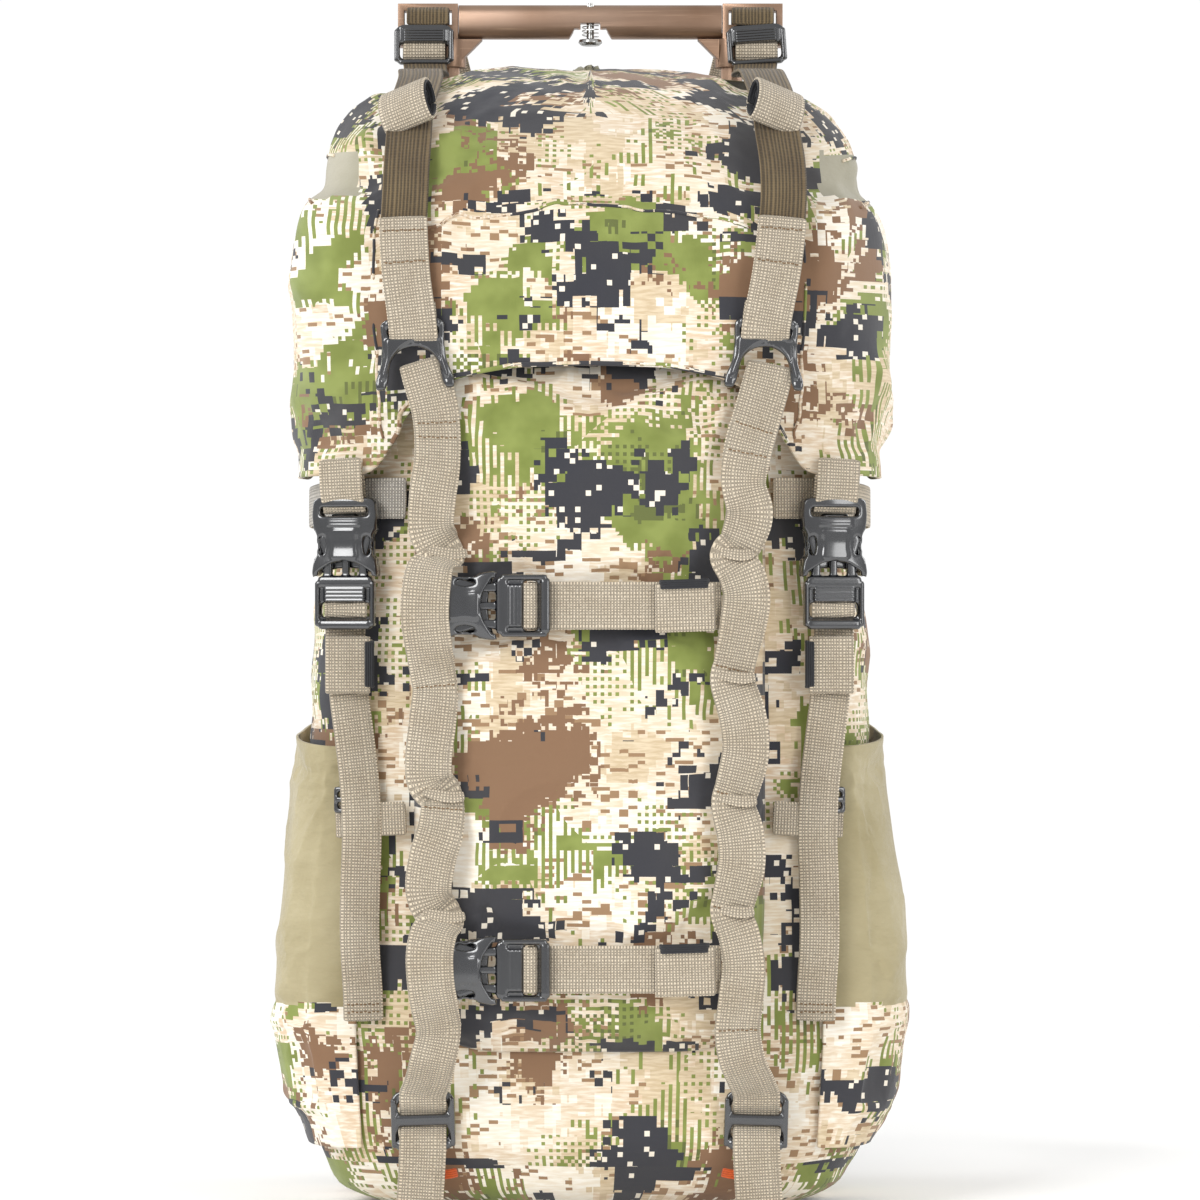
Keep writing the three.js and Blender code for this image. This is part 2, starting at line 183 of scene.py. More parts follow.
def grid_faces(rows, cols, closed=False):
    faces = []
    last = cols if closed else cols - 1
    for r in range(rows - 1):
        for c in range(last):
            n = (c + 1) % cols
            faces.append((r * cols + c, r * cols + n, (r + 1) * cols + n, (r + 1) * cols + c))
    return faces


def cap_faces(first, count, flip=False):
    """Closes a small ring with a strip of quads from one half to the other."""
    faces = []
    for k in range(count // 2 - 1):
        quad = (first + k, first + k + 1, first + count - 2 - k, first + count - 1 - k)
        faces.append(quad[::-1] if flip else quad)
    return faces


def paint(obj, indices, slots):
    """Gives each face a material slot before the materials are known."""
    for _ in range(slots):
        obj.data.materials.append(None)
    obj.data.polygons.foreach_set("material_index", np.asarray(indices, np.int32))


def face_centres(obj):
    co = np.zeros(len(obj.data.polygons) * 3)
    obj.data.polygons.foreach_get("center", co)
    return co.reshape(-1, 3) / MM


def spline(points, step):
    """Points a step apart along a smooth curve through points, and their lengths along it."""
    p = np.asarray(points, float)
    padded = np.vstack([2 * p[0] - p[1], p, 2 * p[-1] - p[-2]])
    fine = []
    for i in range(1, len(padded) - 2):
        a, b, c, d = padded[i - 1 : i + 3]
        knots = [0.0]
        for u, v in ((a, b), (b, c), (c, d)):
            knots.append(knots[-1] + max(np.linalg.norm((v - u)[:3]), 1e-6) ** 0.5)
        t0, t1, t2, t3 = knots
        for t in np.linspace(t1, t2, 16, endpoint=False):
            a1 = (t1 - t) / (t1 - t0) * a + (t - t0) / (t1 - t0) * b
            a2 = (t2 - t) / (t2 - t1) * b + (t - t1) / (t2 - t1) * c
            a3 = (t3 - t) / (t3 - t2) * c + (t - t2) / (t3 - t2) * d
            b1 = (t2 - t) / (t2 - t0) * a1 + (t - t0) / (t2 - t0) * a2
            b2 = (t3 - t) / (t3 - t1) * a2 + (t - t1) / (t3 - t1) * a3
            fine.append((t2 - t) / (t2 - t1) * b1 + (t - t1) / (t2 - t1) * b2)
    fine.append(p[-1])
    fine = np.array(fine)
    lengths = np.concatenate([[0], np.cumsum(np.linalg.norm(np.diff(fine[:, :3], axis=0), axis=1))])
    count = max(2, int(round(lengths[-1] / step)) + 1)
    at = np.linspace(0, lengths[-1], count)
    return np.array([np.interp(at, lengths, fine[:, k]) for k in range(p.shape[1])]).T, at


def unit(v):
    v = np.asarray(v, float)
    return v / np.maximum(np.linalg.norm(v, axis=-1, keepdims=True), 1e-9)


SECTION = [(-0.5, 0), (-0.488, 0.36), (-0.44, 0.5), (-0.2, 0.5), (0.2, 0.5), (0.44, 0.5), (0.488, 0.36),
           (0.5, 0), (0.488, -0.36), (0.44, -0.5), (0.2, -0.5), (-0.2, -0.5), (-0.44, -0.5), (-0.488, -0.36)]


def tube(name, verts, fab, closed=False):
    """A tube from its section's corners: each holds one corner's points along the whole length."""
    count, length = len(verts), len(verts[0])
    faces = grid_faces(length, count, closed=True)
    last = (length - 1) * count
    if closed:
        faces += [(last + c, last + (c + 1) % count, (c + 1) % count, c) for c in range(count)]
    else:
        faces += [tuple(range(count)), tuple(last + c for c in reversed(range(count)))]
    obj = make_mesh(name, np.stack(verts, 1).reshape(-1, 3), faces, np.stack(fab, 1).reshape(-1, 3))
    face_outwards(obj)
    return obj


def strap(name, path, width, across=(1, 0, 0), thick=1.7, step=2.0):
    """Flat webbing along path. Each point may carry its own width as a fourth number and its own
    across direction as numbers five to seven."""
    rows = []
    for p in path:
        p = list(p)
        if len(p) == 3:
            p.append(width)
        if len(p) == 4:
            p += list(across)
        rows.append(p)
    pts, at = spline(rows, step)
    centre, wide, side = pts[:, :3], pts[:, 3:4], unit(pts[:, 4:7])
    along = unit(np.gradient(centre, axis=0))
    side = unit(side - along * (side * along).sum(1, keepdims=True))
    up = np.cross(side, along)
    verts, fab = [], []
    for u, v in SECTION:
        verts.append(centre + side * wide * u + up * thick * v)
        fab.append(np.stack([wide[:, 0] * u * MM, at * MM, np.zeros(len(at))], 1))
    return tube(name, verts, fab)


def face_outwards(obj):
    """Makes the faces of a mesh agree, outwards where it is closed."""
    bm = bmesh.new()
    bm.from_mesh(obj.data)
    bmesh.ops.recalc_face_normals(bm, faces=bm.faces)
    bm.to_mesh(obj.data)
    bm.free()
    obj.data.polygons.foreach_set("use_smooth", [True] * len(obj.data.polygons))


def rounded(points, radius, steps=4):
    """A closed outline with its corners rounded."""
    out = []
    pts = [np.array(p, float) for p in points]
    n = len(pts)
    for i, p in enumerate(pts):
        a, b = pts[i - 1] - p, pts[(i + 1) % n] - p
        r = min(radius, np.linalg.norm(a) * 0.48, np.linalg.norm(b) * 0.48)
        start, end = p + unit(a) * r, p + unit(b) * r
        for t in np.linspace(0, 1, steps):
            out.append(tuple((1 - t) ** 2 * start + 2 * t * (1 - t) * p + t * t * end))
    return out


def rect(x0, y0, x1, y1):
    return [(x0, y0), (x1, y0), (x1, y1), (x0, y1)]


# a small block's eight corners, in the order of nested loops over its three directions
BLOCK_FACES = [(0, 1, 3, 2), (4, 6, 7, 5), (0, 4, 5, 1), (2, 3, 7, 6), (1, 5, 7, 3), (0, 2, 6, 4)]


def block_faces(base):
    """The faces of a block whose corners start at base."""
    return [tuple(base + q for q in quad) for quad in BLOCK_FACES]


def plate(outlines, z0, z1, bevel=0.5, radius=1.5):
    """A flat moulded piece drawn in X and Y, in millimetres, from z0 to z1, with soft edges."""
    curve = bpy.data.curves.new("plate", "CURVE")
    curve.dimensions = "2D"
    curve.fill_mode = "BOTH"
    curve.extrude = max((z1 - z0) / 2 - bevel, 0.01)
    curve.bevel_depth = bevel
    curve.bevel_resolution = 1
    curve.offset = -bevel
    for outline in outlines:
        pts = rounded(outline, radius)
        s = curve.splines.new("POLY")
        s.points.add(len(pts) - 1)
        for q, (x, y) in zip(s.points, pts):
            q.co = (x, y, 0, 1)
        s.use_cyclic_u = True
    obj = link(bpy.data.objects.new("plate", curve))
    obj.location.z = (z0 + z1) / 2
    bpy.context.view_layer.update()
    graph = bpy.context.evaluated_depsgraph_get()
    mesh = bpy.data.meshes.new_from_object(obj.evaluated_get(graph))
    mesh.transform(obj.matrix_world)
    bpy.data.objects.remove(obj)
    return link(bpy.data.objects.new("plate", mesh))


def moulded(name, pieces, voxel, shape=None):
    """Plates in millimetres, merged into one moulded body with soft edges."""
    obj = join(pieces, name)
    obj.data.transform(Matrix.Scale(MM, 4))
    remesh(obj, voxel)
    if shape:
        set_points(obj, shape(points_of(obj) / MM) * MM)
    return obj


def place(obj, at, right=(1, 0, 0), up=(0, 0, 1)):
    """Sets a piece drawn in X and Y at a point, in millimetres, with its Z towards right x up."""
    r, u = Vector(right).normalized(), Vector(up).normalized()
    out = r.cross(u)
    turn = Matrix((r, u, out)).transposed().to_4x4()
    obj.data.transform(Matrix.Translation(Vector(at) * MM) @ turn)
    return obj


def copy_of(obj, name):
    return link(bpy.data.objects.new(name, obj.data.copy()))


def finish_piece(obj, body, materials, stands_for=()):
    """Gives a piece its materials, its body and the CAD nodes it stands for."""
    for i, material in enumerate(materials if isinstance(materials, (list, tuple)) else [materials]):
        if i < len(obj.data.materials):
            obj.data.materials[i] = material
        else:
            obj.data.materials.append(material)
    if body:
        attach(obj, body)
    if stands_for:
        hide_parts(*stands_for)
    return obj


def scramble(x, y, z, salt):
    """A repeatable number from -1 to 1 for each whole-number place."""
    h = (x * 374761393 + y * 668265263 + z * 1440662683 + salt * 974634777) & 0xFFFFFFFF
    h = ((h ^ (h >> 13)) * 1274126177) & 0xFFFFFFFF
    return (h ^ (h >> 16)) / 2147483648.0 - 1.0


def fold_noise(co, scale, seed, stretch=(1, 1, 1)):
    """Smooth gradient noise, about -1 to 1, at each point in metres."""
    p = np.asarray(co) * np.asarray(stretch) * scale + np.array([7.31, 3.77, 5.13]) * seed
    cell = np.floor(p).astype(np.int64)
    f = p - cell
    w = f * f * f * (f * (f * 6 - 15) + 10)
    total = np.zeros(len(p))
    for dx in (0, 1):
        for dy in (0, 1):
            for dz in (0, 1):
                x, y, z = (cell + (dx, dy, dz)).T
                slope = np.stack([scramble(x, y, z, k) for k in (1, 2, 3)], 1)
                dot = (slope * (f - (dx, dy, dz))).sum(1)
                part = np.where(dx, w[:, 0], 1 - w[:, 0]) * np.where(dy, w[:, 1], 1 - w[:, 1])
                total += dot * part * np.where(dz, w[:, 2], 1 - w[:, 2])
    return np.clip(total * 1.9, -1.2, 1.2)


def creases(co, scale, seed, stretch=(1, 1, 1)):
    """Narrow ridges, from 0 to 1, where smooth noise crosses zero."""
    return np.exp(-np.abs(fold_noise(co, scale, seed, stretch)) * 6.0)


def bulge(value, centre, width):
    """1 where value is centre, falling smoothly to 0 over width."""
    return np.exp(-((value - centre) / width) ** 2)


def shift_out(obj, depth):
    """Moves each point along its normal by its own depth in millimetres."""
    set_points(obj, points_of(obj) + normals_of(obj) * (depth * MM)[:, None])


def smoothstep(low, high, x):
    t = np.clip((np.asarray(x, float) - low) / (high - low), 0, 1)
    return t * t * (3 - 2 * t)


def puff(obj, pin, pressure=4.0, frames=20, cap=8.0, bending=0.5, shrink=0.0):
    """Inflates cloth for a moment, holds it where pin is 1, and keeps every point within cap millimetres."""
    before = points_of(obj)
    group = obj.vertex_groups.new(name="pin")
    for i, w in enumerate(pin):
        if w > 0:
            group.add([i], float(min(w, 1)), "REPLACE")
    cloth = modify(obj, "CLOTH")
    s = cloth.settings
    s.quality = 5
    s.mass = 0.3
    s.tension_stiffness = 15
    s.compression_stiffness = 15
    s.bending_stiffness = bending
    s.use_pressure = True
    s.uniform_pressure_force = pressure
    s.shrink_min = shrink
    s.effector_weights.gravity = 0
    s.vertex_group_mass = "pin"
    cloth.collision_settings.use_collision = False
    cloth.point_cache.frame_start = 1
    cloth.point_cache.frame_end = frames
    scene = bpy.context.scene
    for f in range(1, frames + 1):
        scene.frame_set(f)
    graph = bpy.context.evaluated_depsgraph_get()
    mesh = obj.evaluated_get(graph).to_mesh()
    after = np.zeros(len(mesh.vertices) * 3)
    mesh.vertices.foreach_get("co", after)
    after = after.reshape(-1, 3)
    obj.evaluated_get(graph).to_mesh_clear()
    obj.modifiers.clear()
    scene.frame_set(1)
    move = after - before
    length = np.linalg.norm(move, axis=1, keepdims=True)
    limit = cap * MM
    move *= np.where(length > limit, limit / np.maximum(length, 1e-9), 1)
    set_points(obj, before + move)
    return obj


def piping(name, rows, radius, body, material, closed=True, sides=8):
    """A round cord of cloth sewn along an edge."""
    pts = np.array(rows + rows[:1] if closed else rows, float)
    curve, at = spline(pts, max(radius * 1.1, 2.0))
    if closed:
        curve, at = curve[:-1], at[:-1]
        along = unit(np.roll(curve, -1, 0) - np.roll(curve, 1, 0))
    else:
        along = unit(np.gradient(curve, axis=0))
    ref = np.where(np.abs(along[:, 2:3]) > 0.9, [[0.0, 1.0, 0.0]], [[0.0, 0.0, 1.0]])
    side = unit(np.cross(along, ref))
    up = np.cross(side, along)
    verts, fab = [], []
    for k in range(sides):
        a = 2 * math.pi * k / sides
        verts.append(curve + side * radius * math.cos(a) + up * radius * math.sin(a))
        fab.append(np.stack([np.full(len(at), radius * a * MM), at * MM, 0 * at], 1))
    return finish_piece(tube(name, verts, fab, closed), body, material)


# ------------------------------------------------------------------ materials
def srgb(code):
    """A linear colour from a six-digit code."""
    parts = [int(code[i : i + 2], 16) / 255 for i in (0, 2, 4)]
    return tuple(c / 12.92 if c <= 0.04045 else ((c + 0.055) / 1.055) ** 2.4 for c in parts) + (1,)


class Nodes:
    """A short way to write a material's nodes."""

    def __init__(self, name, roughness=0.8, metallic=0.0, **sockets):
        self.material = bpy.data.materials.new(name)
        self.material.use_nodes = True
        self.tree = self.material.node_tree
        self.tree.nodes.clear()
        self.shader = self.new("ShaderNodeBsdfPrincipled")
        out = self.new("ShaderNodeOutputMaterial")
        self.join(self.shader.outputs[0], out.inputs[0])
        self.shader.inputs["Roughness"].default_value = roughness
        self.shader.inputs["Metallic"].default_value = metallic
        for key, value in sockets.items():
            self.shader.inputs[key.replace("_", " ")].default_value = value

    def new(self, kind, **values):
        node = self.tree.nodes.new(kind)
        for key, value in values.items():
            setattr(node, key, value)
        return node

    def join(self, a, b):
        if isinstance(a, (int, float, tuple)):
            b.default_value = a
        else:
            self.tree.links.new(a, b)

    def math(self, operation, a, b=0.0, c=None, clamp=False):
        node = self.new("ShaderNodeMath", operation=operation, use_clamp=clamp)
        self.join(a, node.inputs[0])
        self.join(b, node.inputs[1])
        if c is not None:
            self.join(c, node.inputs[2])
        return node.outputs[0]

    def vector(self, operation, a, b=(0.0, 0.0, 0.0), scale=None):
        node = self.new("ShaderNodeVectorMath", operation=operation)
        self.join(a, node.inputs[0])
        self.join(b, node.inputs[1])
        if scale is not None:
            self.join(scale, node.inputs["Scale"])
        return node.outputs[0]

    def above(self, value, edge):
        return self.math("GREATER_THAN", value, edge)

    def fab(self):
        return self.new("ShaderNodeAttribute", attribute_name="fab").outputs["Vector"]

    def place(self):
        return self.new("ShaderNodeTexCoord").outputs["Object"]

    def noise(self, vector, scale, detail=2.0, rough=0.5, dims="3D"):
        node = self.new("ShaderNodeTexNoise", noise_dimensions=dims)
        self.join(vector, node.inputs["Vector"])
        node.inputs["Scale"].default_value = scale
        node.inputs["Detail"].default_value = detail
        node.inputs["Roughness"].default_value = rough
        return node.outputs["Fac"]

    def cells(self, vector):
        """A random value from 0 to 1 for each whole-number cell."""
        node = self.new("ShaderNodeTexWhiteNoise", noise_dimensions="3D")
        self.join(self.vector("FLOOR", vector), node.inputs["Vector"])
        return node.outputs["Value"]

    def mix(self, fac, a, b):
        node = self.new("ShaderNodeMix", data_type="RGBA")
        self.join(fac, node.inputs[0])
        self.join(a, node.inputs[6])
        self.join(b, node.inputs[7])
        return node.outputs[2]

    def ramp(self, fac, low, high):
        node = self.new("ShaderNodeMapRange", clamp=True)
        self.join(fac, node.inputs[0])
        node.inputs[1].default_value = low
        node.inputs[2].default_value = high
        return node.outputs[0]

    def wave(self, value, pitch):
        """0 to 1 and back over each pitch, in metres, of a coordinate."""
        turns = self.math("MULTIPLY", value, 2 * math.pi / pitch)
        return self.math("MULTIPLY_ADD", self.math("SINE", turns), 0.5, 0.5)

    def split(self, vector):
        node = self.new("ShaderNodeSeparateXYZ")
        self.join(vector, node.inputs[0])
        return node.outputs

    def combine(self, x, y, z=0.0):
        node = self.new("ShaderNodeCombineXYZ")
        for value, socket in zip((x, y, z), node.inputs):
            self.join(value, socket)
        return node.outputs[0]

    def bump(self, height, distance, strength=1.0, after=None):
        node = self.new("ShaderNodeBump")
        node.inputs["Strength"].default_value = strength
        node.inputs["Distance"].default_value = distance
        self.join(height, node.inputs["Height"])
        if after is not None:
            self.join(after, node.inputs["Normal"])
        return node.outputs[0]

    def done(self, colour, normal=None, rough=None):
        self.join(colour, self.shader.inputs["Base Color"])
        if normal is not None:
            self.join(normal, self.shader.inputs["Normal"])
        if rough is not None:
            self.join(rough, self.shader.inputs["Roughness"])
        return self.material


PIXEL = 0.0020  # the smallest printed square


def camouflage(name, seed=0.0, slate=0.575):
    """Printed cloth: squares of green, brown and slate that break up into dots and dashes on streaked sand."""
    n = Nodes(name, roughness=0.85, Sheen_Weight=0.15, Sheen_Roughness=0.5)
    cloth = n.vector("ADD", n.fab(), (seed * 1.7, seed * 0.9, 0.0))
    grid = n.vector("SCALE", cloth, scale=1 / PIXEL)

    def coarse(size):
        """The cloth's place, stepped to squares of size pixels."""
        snapped = n.vector("FLOOR", n.vector("SCALE", grid, scale=1 / size))
        return n.vector("SCALE", snapped, scale=size * PIXEL)

    def shift(vector, amount):
        return n.vector("ADD", vector, (amount, amount * 0.37, amount * 0.71))

    def field(size, scale, offset, detail=2.0):
        return n.noise(shift(coarse(size), offset), scale, detail, 0.55)

    dots = n.cells(grid)
    gx, gy, _ = n.split(n.vector("FLOOR", grid))
    odd_x = n.math("MODULO", n.math("ABSOLUTE", gx), 2.0)
    odd_y = n.math("MODULO", n.math("ABSOLUTE", gy), 2.0)
    spots = n.math("MULTIPLY_ADD", n.math("MULTIPLY", odd_x, odd_y), 0.62, n.math("MULTIPLY", dots, 0.55))
    upright = n.cells(n.vector("MULTIPLY", shift(grid, 31.0), (1.0, 0.26, 1.0)))
    upright = n.math("MULTIPLY_ADD", odd_x, 0.55, n.math("MULTIPLY", upright, 0.6))
    level = n.cells(n.vector("MULTIPLY", shift(grid, 57.0), (0.4, 1.0, 1.0)))
    nibble = n.cells(n.vector("SCALE", shift(grid, 11.0), scale=0.45))

    # sand: soft blotches crossed by fine streaks
    streak = n.noise(n.vector("MULTIPLY", cloth, (90.0, 620.0, 90.0)), 1.0, 3.0)
    blotch = n.noise(shift(cloth, 4.0), 22.0, 2.0)
    colour = n.mix(n.ramp(blotch, 0.35, 0.65), srgb("e8d8be"), srgb("d9bf9f"))
    colour = n.mix(n.ramp(streak, 0.42, 0.68), colour, srgb("f6eee0"))
    pale = n.above(n.math("MULTIPLY_ADD", nibble, 0.08, field(3.0, 15.0, 2.2)), 0.60)
    colour = n.mix(pale, colour, n.mix(n.ramp(streak, 0.4, 0.7), srgb("efe4d1"), srgb("fcf8ef")))
    tan = n.above(n.math("MULTIPLY_ADD", nibble, 0.10, field(2.0, 19.0, 9.4)), 0.63)
    colour = n.mix(tan, colour, n.mix(n.ramp(streak, 0.4, 0.6), srgb("cdb795"), srgb("e0ceb0")))

    # short brown dashes scattered over the sand
    sprinkle = n.math("MULTIPLY", n.above(level, 0.83), n.above(field(3.0, 16.0, 6.1), 0.50))
    colour = n.mix(sprinkle, colour, srgb("9c7c5c"))

    # green: crisp in places, elsewhere dissolving into upright dashes and dots
    leaf = field(2.0, 13.0, 1.3, 3.0)
    reach = n.ramp(field(4.0, 11.0, 8.8), 0.42, 0.60)
    kind = n.above(n.noise(shift(cloth, 3.0), 17.0, 0.0), 0.5)
    grain = n.math("ADD", n.math("MULTIPLY", kind, upright), n.math("MULTIPLY", n.math("SUBTRACT", 1.0, kind),
                                                                    spots))
    spread = n.math("MULTIPLY_ADD", reach, 0.25, 0.03)
    leafy = n.math("ADD", leaf, n.math("MULTIPLY", n.math("SUBTRACT", grain, 0.5), spread))
    green = n.mix(n.ramp(n.noise(shift(cloth, 7.0), 60.0, 2.0), 0.35, 0.65), srgb("76823a"), srgb("8a964c"))
    colour = n.mix(n.above(leafy, 0.555), colour, green)
    colour = n.mix(n.above(leafy, 0.70), colour, srgb("5f6834"))

    # brown blocks, then slate blocks with a few missing squares
    bark = n.math("MULTIPLY_ADD", n.math("SUBTRACT", nibble, 0.5), 0.10, field(3.0, 16.0, 5.7, 1.0))
    bark = n.math("MULTIPLY_ADD", n.math("SUBTRACT", dots, 0.5), 0.05, bark)
    colour = n.mix(n.above(bark, 0.615), colour, srgb("85644a"))
    skew = n.vector("MULTIPLY", coarse(3.0), (1.0, 1.35, 1.0))
    stone = n.noise(shift(skew, 12.3), 19.0, 1.5)
    stone = n.math("MULTIPLY_ADD", n.math("SUBTRACT", nibble, 0.5), 0.07, stone)
    colour = n.mix(n.above(stone, slate), colour, srgb("2c2e38"))
    gap = n.math("MULTIPLY", n.above(n.cells(n.vector("SCALE", shift(grid, 11.0), scale=0.7)), 0.955),
                 n.above(stone, slate))
    colour = n.mix(gap, colour, srgb("efe6d6"))

    # plain weave, and a slow change of tone with wear
    u, v, _ = n.split(cloth)
    weave = n.math("MULTIPLY", n.wave(u, 0.0007), n.wave(v, 0.0007))
    tone = n.ramp(n.noise(cloth, 9.0, 3.0), 0.3, 0.7)
    colour = n.mix(n.math("MULTIPLY", n.math("SUBTRACT", 1.0, tone), 0.10), colour, srgb("8a8064"))
    normal = n.bump(weave, 0.00012, 0.5)
    normal = n.bump(n.noise(cloth, 260.0, 3.0), 0.0004, 0.35, normal)
    return n.done(colour, normal)


def webbing_cloth(name, light, dark, pitch=0.00145, ribs=False, gap_shade_strength=0.75):
    """Nylon webbing: rows of raised floats across and along, with painted shade darkening the gaps between them."""
    n = Nodes(name, roughness=0.75, Sheen_Weight=0.2, Sheen_Roughness=0.4)
    u, v, _ = n.split(n.fab())
    row = n.math("FLOOR", n.math("DIVIDE", v, pitch / 2))
    odd = n.math("MULTIPLY", n.math("MODULO", n.math("ABSOLUTE", row), 2.0), pitch / 2)
    across = n.wave(n.math("ADD", u, 0.0 if ribs else odd), pitch)
    along = n.wave(v, pitch / 2 if ribs else pitch)
    if ribs:
        height = n.math("MULTIPLY_ADD", along, 0.25, n.math("MULTIPLY", across, 0.75))
    else:
        height = n.math("MULTIPLY", n.math("POWER", across, 0.6), n.math("POWER", along, 0.6))
    tone = n.ramp(n.noise(n.fab(), 45.0, 3.0), 0.25, 0.75)
    fleck = n.noise(n.fab(), 700.0, 2.0)
    top = n.mix(tone, srgb(light), srgb(dark))
    # painted shade: the gaps between the floats are darkened towards a near-black copy of the dark colour, as shade
    # falling into them
    gap = n.ramp(n.math("SUBTRACT", 1.0, height), 0.22, 0.8)
    colour = n.mix(n.math("MULTIPLY", gap, gap_shade_strength), top, tuple(0.16 * c for c in srgb(dark)[:3]) + (1.0,))
    colour = n.mix(n.math("MULTIPLY", n.ramp(fleck, 0.5, 0.75), 0.35), colour, srgb(light))
    return n.done(colour, n.bump(height, 0.0006, 1.0))


def plain_cloth(name, light, dark, pitch=0.0006, crease=0.5):
    """Smooth stretch cloth or lining with a fine weave."""
    n = Nodes(name, roughness=0.7, Sheen_Weight=0.3, Sheen_Roughness=0.35)
    spot = n.place()
    x, y, z = n.split(spot)
    weave = n.math("MULTIPLY", n.wave(n.math("ADD", x, y), pitch), n.wave(z, pitch))
    cloud = n.ramp(n.noise(spot, 16.0, 4.0), 0.3, 0.7)
    colour = n.mix(cloud, srgb(light), srgb(dark))
    colour = n.mix(n.math("MULTIPLY", weave, 0.12), colour, srgb(dark))
    normal = n.bump(weave, 0.00012, 0.5)
    normal = n.bump(n.noise(n.vector("MULTIPLY", spot, (1.0, 1.0, 2.2)), 70.0, 3.0), 0.002, crease, normal)
    return n.done(colour, normal)


def mesh_cloth(name, light, dark, pitch=0.0034):
    """Spacer mesh over foam: round holes in staggered rows, darkened with painted shade."""
    n = Nodes(name, roughness=0.9, Sheen_Weight=0.3)
    x, y, z = n.split(n.place())
    a = n.wave(n.math("ADD", n.math("ADD", x, y), z), pitch)
    b = n.wave(n.math("SUBTRACT", n.math("ADD", x, y), z), pitch)
    holes = n.ramp(n.math("MULTIPLY", a, b), 0.25, 0.6)
    cloud = n.ramp(n.noise(n.place(), 24.0, 3.0), 0.3, 0.7)
    colour = n.mix(cloud, srgb(light), srgb(dark))
    # painted shade: the holes are darkened towards a near-black copy of the dark colour, as shade in their depths
    colour = n.mix(holes, colour, tuple(0.2 * c for c in srgb(dark)[:3]) + (1.0,))
    return n.done(colour, n.bump(n.math("SUBTRACT", 1.0, holes), 0.0006, 0.8))


def moulded_plastic(name, colour, rough=0.32, grain=0.25, coat=0.0):
    """Moulded nylon or acetal: fine grain, faint flow marks, paler rubbed spots."""
    n = Nodes(name, roughness=rough, Specular_IOR_Level=0.6, Coat_Weight=coat, Coat_Roughness=0.12, Coat_IOR=1.7)
    spot = n.place()
    marks = n.noise(spot, 90.0, 4.0)
    rub = n.ramp(n.noise(spot, 35.0, 5.0), 0.55, 0.8)
    base = srgb(colour)
    worn = tuple(min(1.0, c * 2.2 + 0.012) for c in base[:3]) + (1.0,)
    mixed = n.mix(n.math("MULTIPLY", rub, 0.5), base, worn)
    gloss = n.math("MULTIPLY_ADD", marks, 0.2, rough - 0.08)
    return n.done(mixed, n.bump(n.noise(spot, 1400.0, 2.0), 0.0001, grain), gloss)


def anodised(name, colour, dark, rough=0.3):
    """Bead-blasted anodised aluminium with a cloudy tone and faint scratches."""
    n = Nodes(name, roughness=rough, metallic=0.7)
    spot = n.place()
    cloud = n.ramp(n.noise(spot, 18.0, 4.0), 0.3, 0.7)
    scratch = n.noise(n.vector("MULTIPLY", spot, (25.0, 700.0, 700.0)), 1.0, 2.0)
    base = n.mix(cloud, srgb(colour), srgb(dark))
    base = n.mix(n.math("MULTIPLY", n.ramp(scratch, 0.62, 0.8), 0.35), base, srgb("d9b89c"))
    gloss = n.math("MULTIPLY_ADD", scratch, 0.18, rough - 0.06)
    return n.done(base, n.bump(n.noise(spot, 1500.0, 2.0), 0.00008, 0.4), gloss)


def turned_steel(name):
    n = Nodes(name, roughness=0.22, metallic=1.0)
    spot = n.place()
    _, _, z = n.split(spot)
    rings = n.wave(z, 0.0004)
    tone = n.ramp(n.noise(spot, 120.0, 3.0), 0.3, 0.7)
    base = n.mix(tone, srgb("d9d9d6"), srgb("a9a9a8"))
    return n.done(base, n.bump(rings, 0.00004, 0.4), n.math("MULTIPLY_ADD", tone, 0.12, 0.16))


def carbon_weave(name):
    """Clear-coated carbon tube with a fine twill."""
    n = Nodes(name, roughness=0.4, Coat_Weight=0.6, Coat_Roughness=0.12)
    x, y, z = n.split(n.place())
    turn = n.math("ARCTAN2", n.math("SUBTRACT", y, 0.097), n.math("SUBTRACT", n.math("ABSOLUTE", x), 0.080))
    round_it = n.math("MULTIPLY", turn, 0.0075)
    twill = n.wave(n.math("ADD", z, round_it), 0.0026)
    cross = n.wave(n.math("SUBTRACT", z, round_it), 0.0013)
    colour = n.mix(n.math("MULTIPLY", twill, cross), srgb("141416"), srgb("3a3a3d"))
    return n.done(colour, n.bump(twill, 0.00006, 0.4))


CAMO = camouflage("camouflage")
CAMO_TOP = camouflage("camouflage_top", 3.1, 0.535)
CAMO_BAG = camouflage("camouflage_bag", 5.4)
CAMO_FOOT = camouflage("camouflage_foot", 8.3)
TAN_WEB = webbing_cloth("taupe_webbing", "efe1ca", "d8c7ad", pitch=0.00165, gap_shade_strength=0.72)
DARK_WEB = webbing_cloth("dark_webbing", "7d6b4c", "63523a", pitch=0.0021, ribs=True)
GREY_WEB = webbing_cloth("grey_webbing", "e6e0d6", "d0c8bb", pitch=0.00165)
STRETCH = plain_cloth("stretch_cloth", "b2a785", "978b66", crease=0.9)
LINING = plain_cloth("lining", "9a9683", "7f7c68")
GUSSET = plain_cloth("gusset_cloth", "b4af9e", "98937e")
EDGE_TAPE = plain_cloth("edge_tape", "6f664c", "554e38", crease=0.2)
SPACER = mesh_cloth("spacer_mesh", "4d4a3b", "38362b")
ELASTIC = webbing_cloth("black_elastic", "34353a", "26272b", pitch=0.0012, ribs=True, gap_shade_strength=0.4)
ORANGE = webbing_cloth("orange_tape", "f06a2a", "d9541b", pitch=0.0012, ribs=True, gap_shade_strength=0.3)
THREAD = moulded_plastic("brown_thread", "7d6446", 0.7)
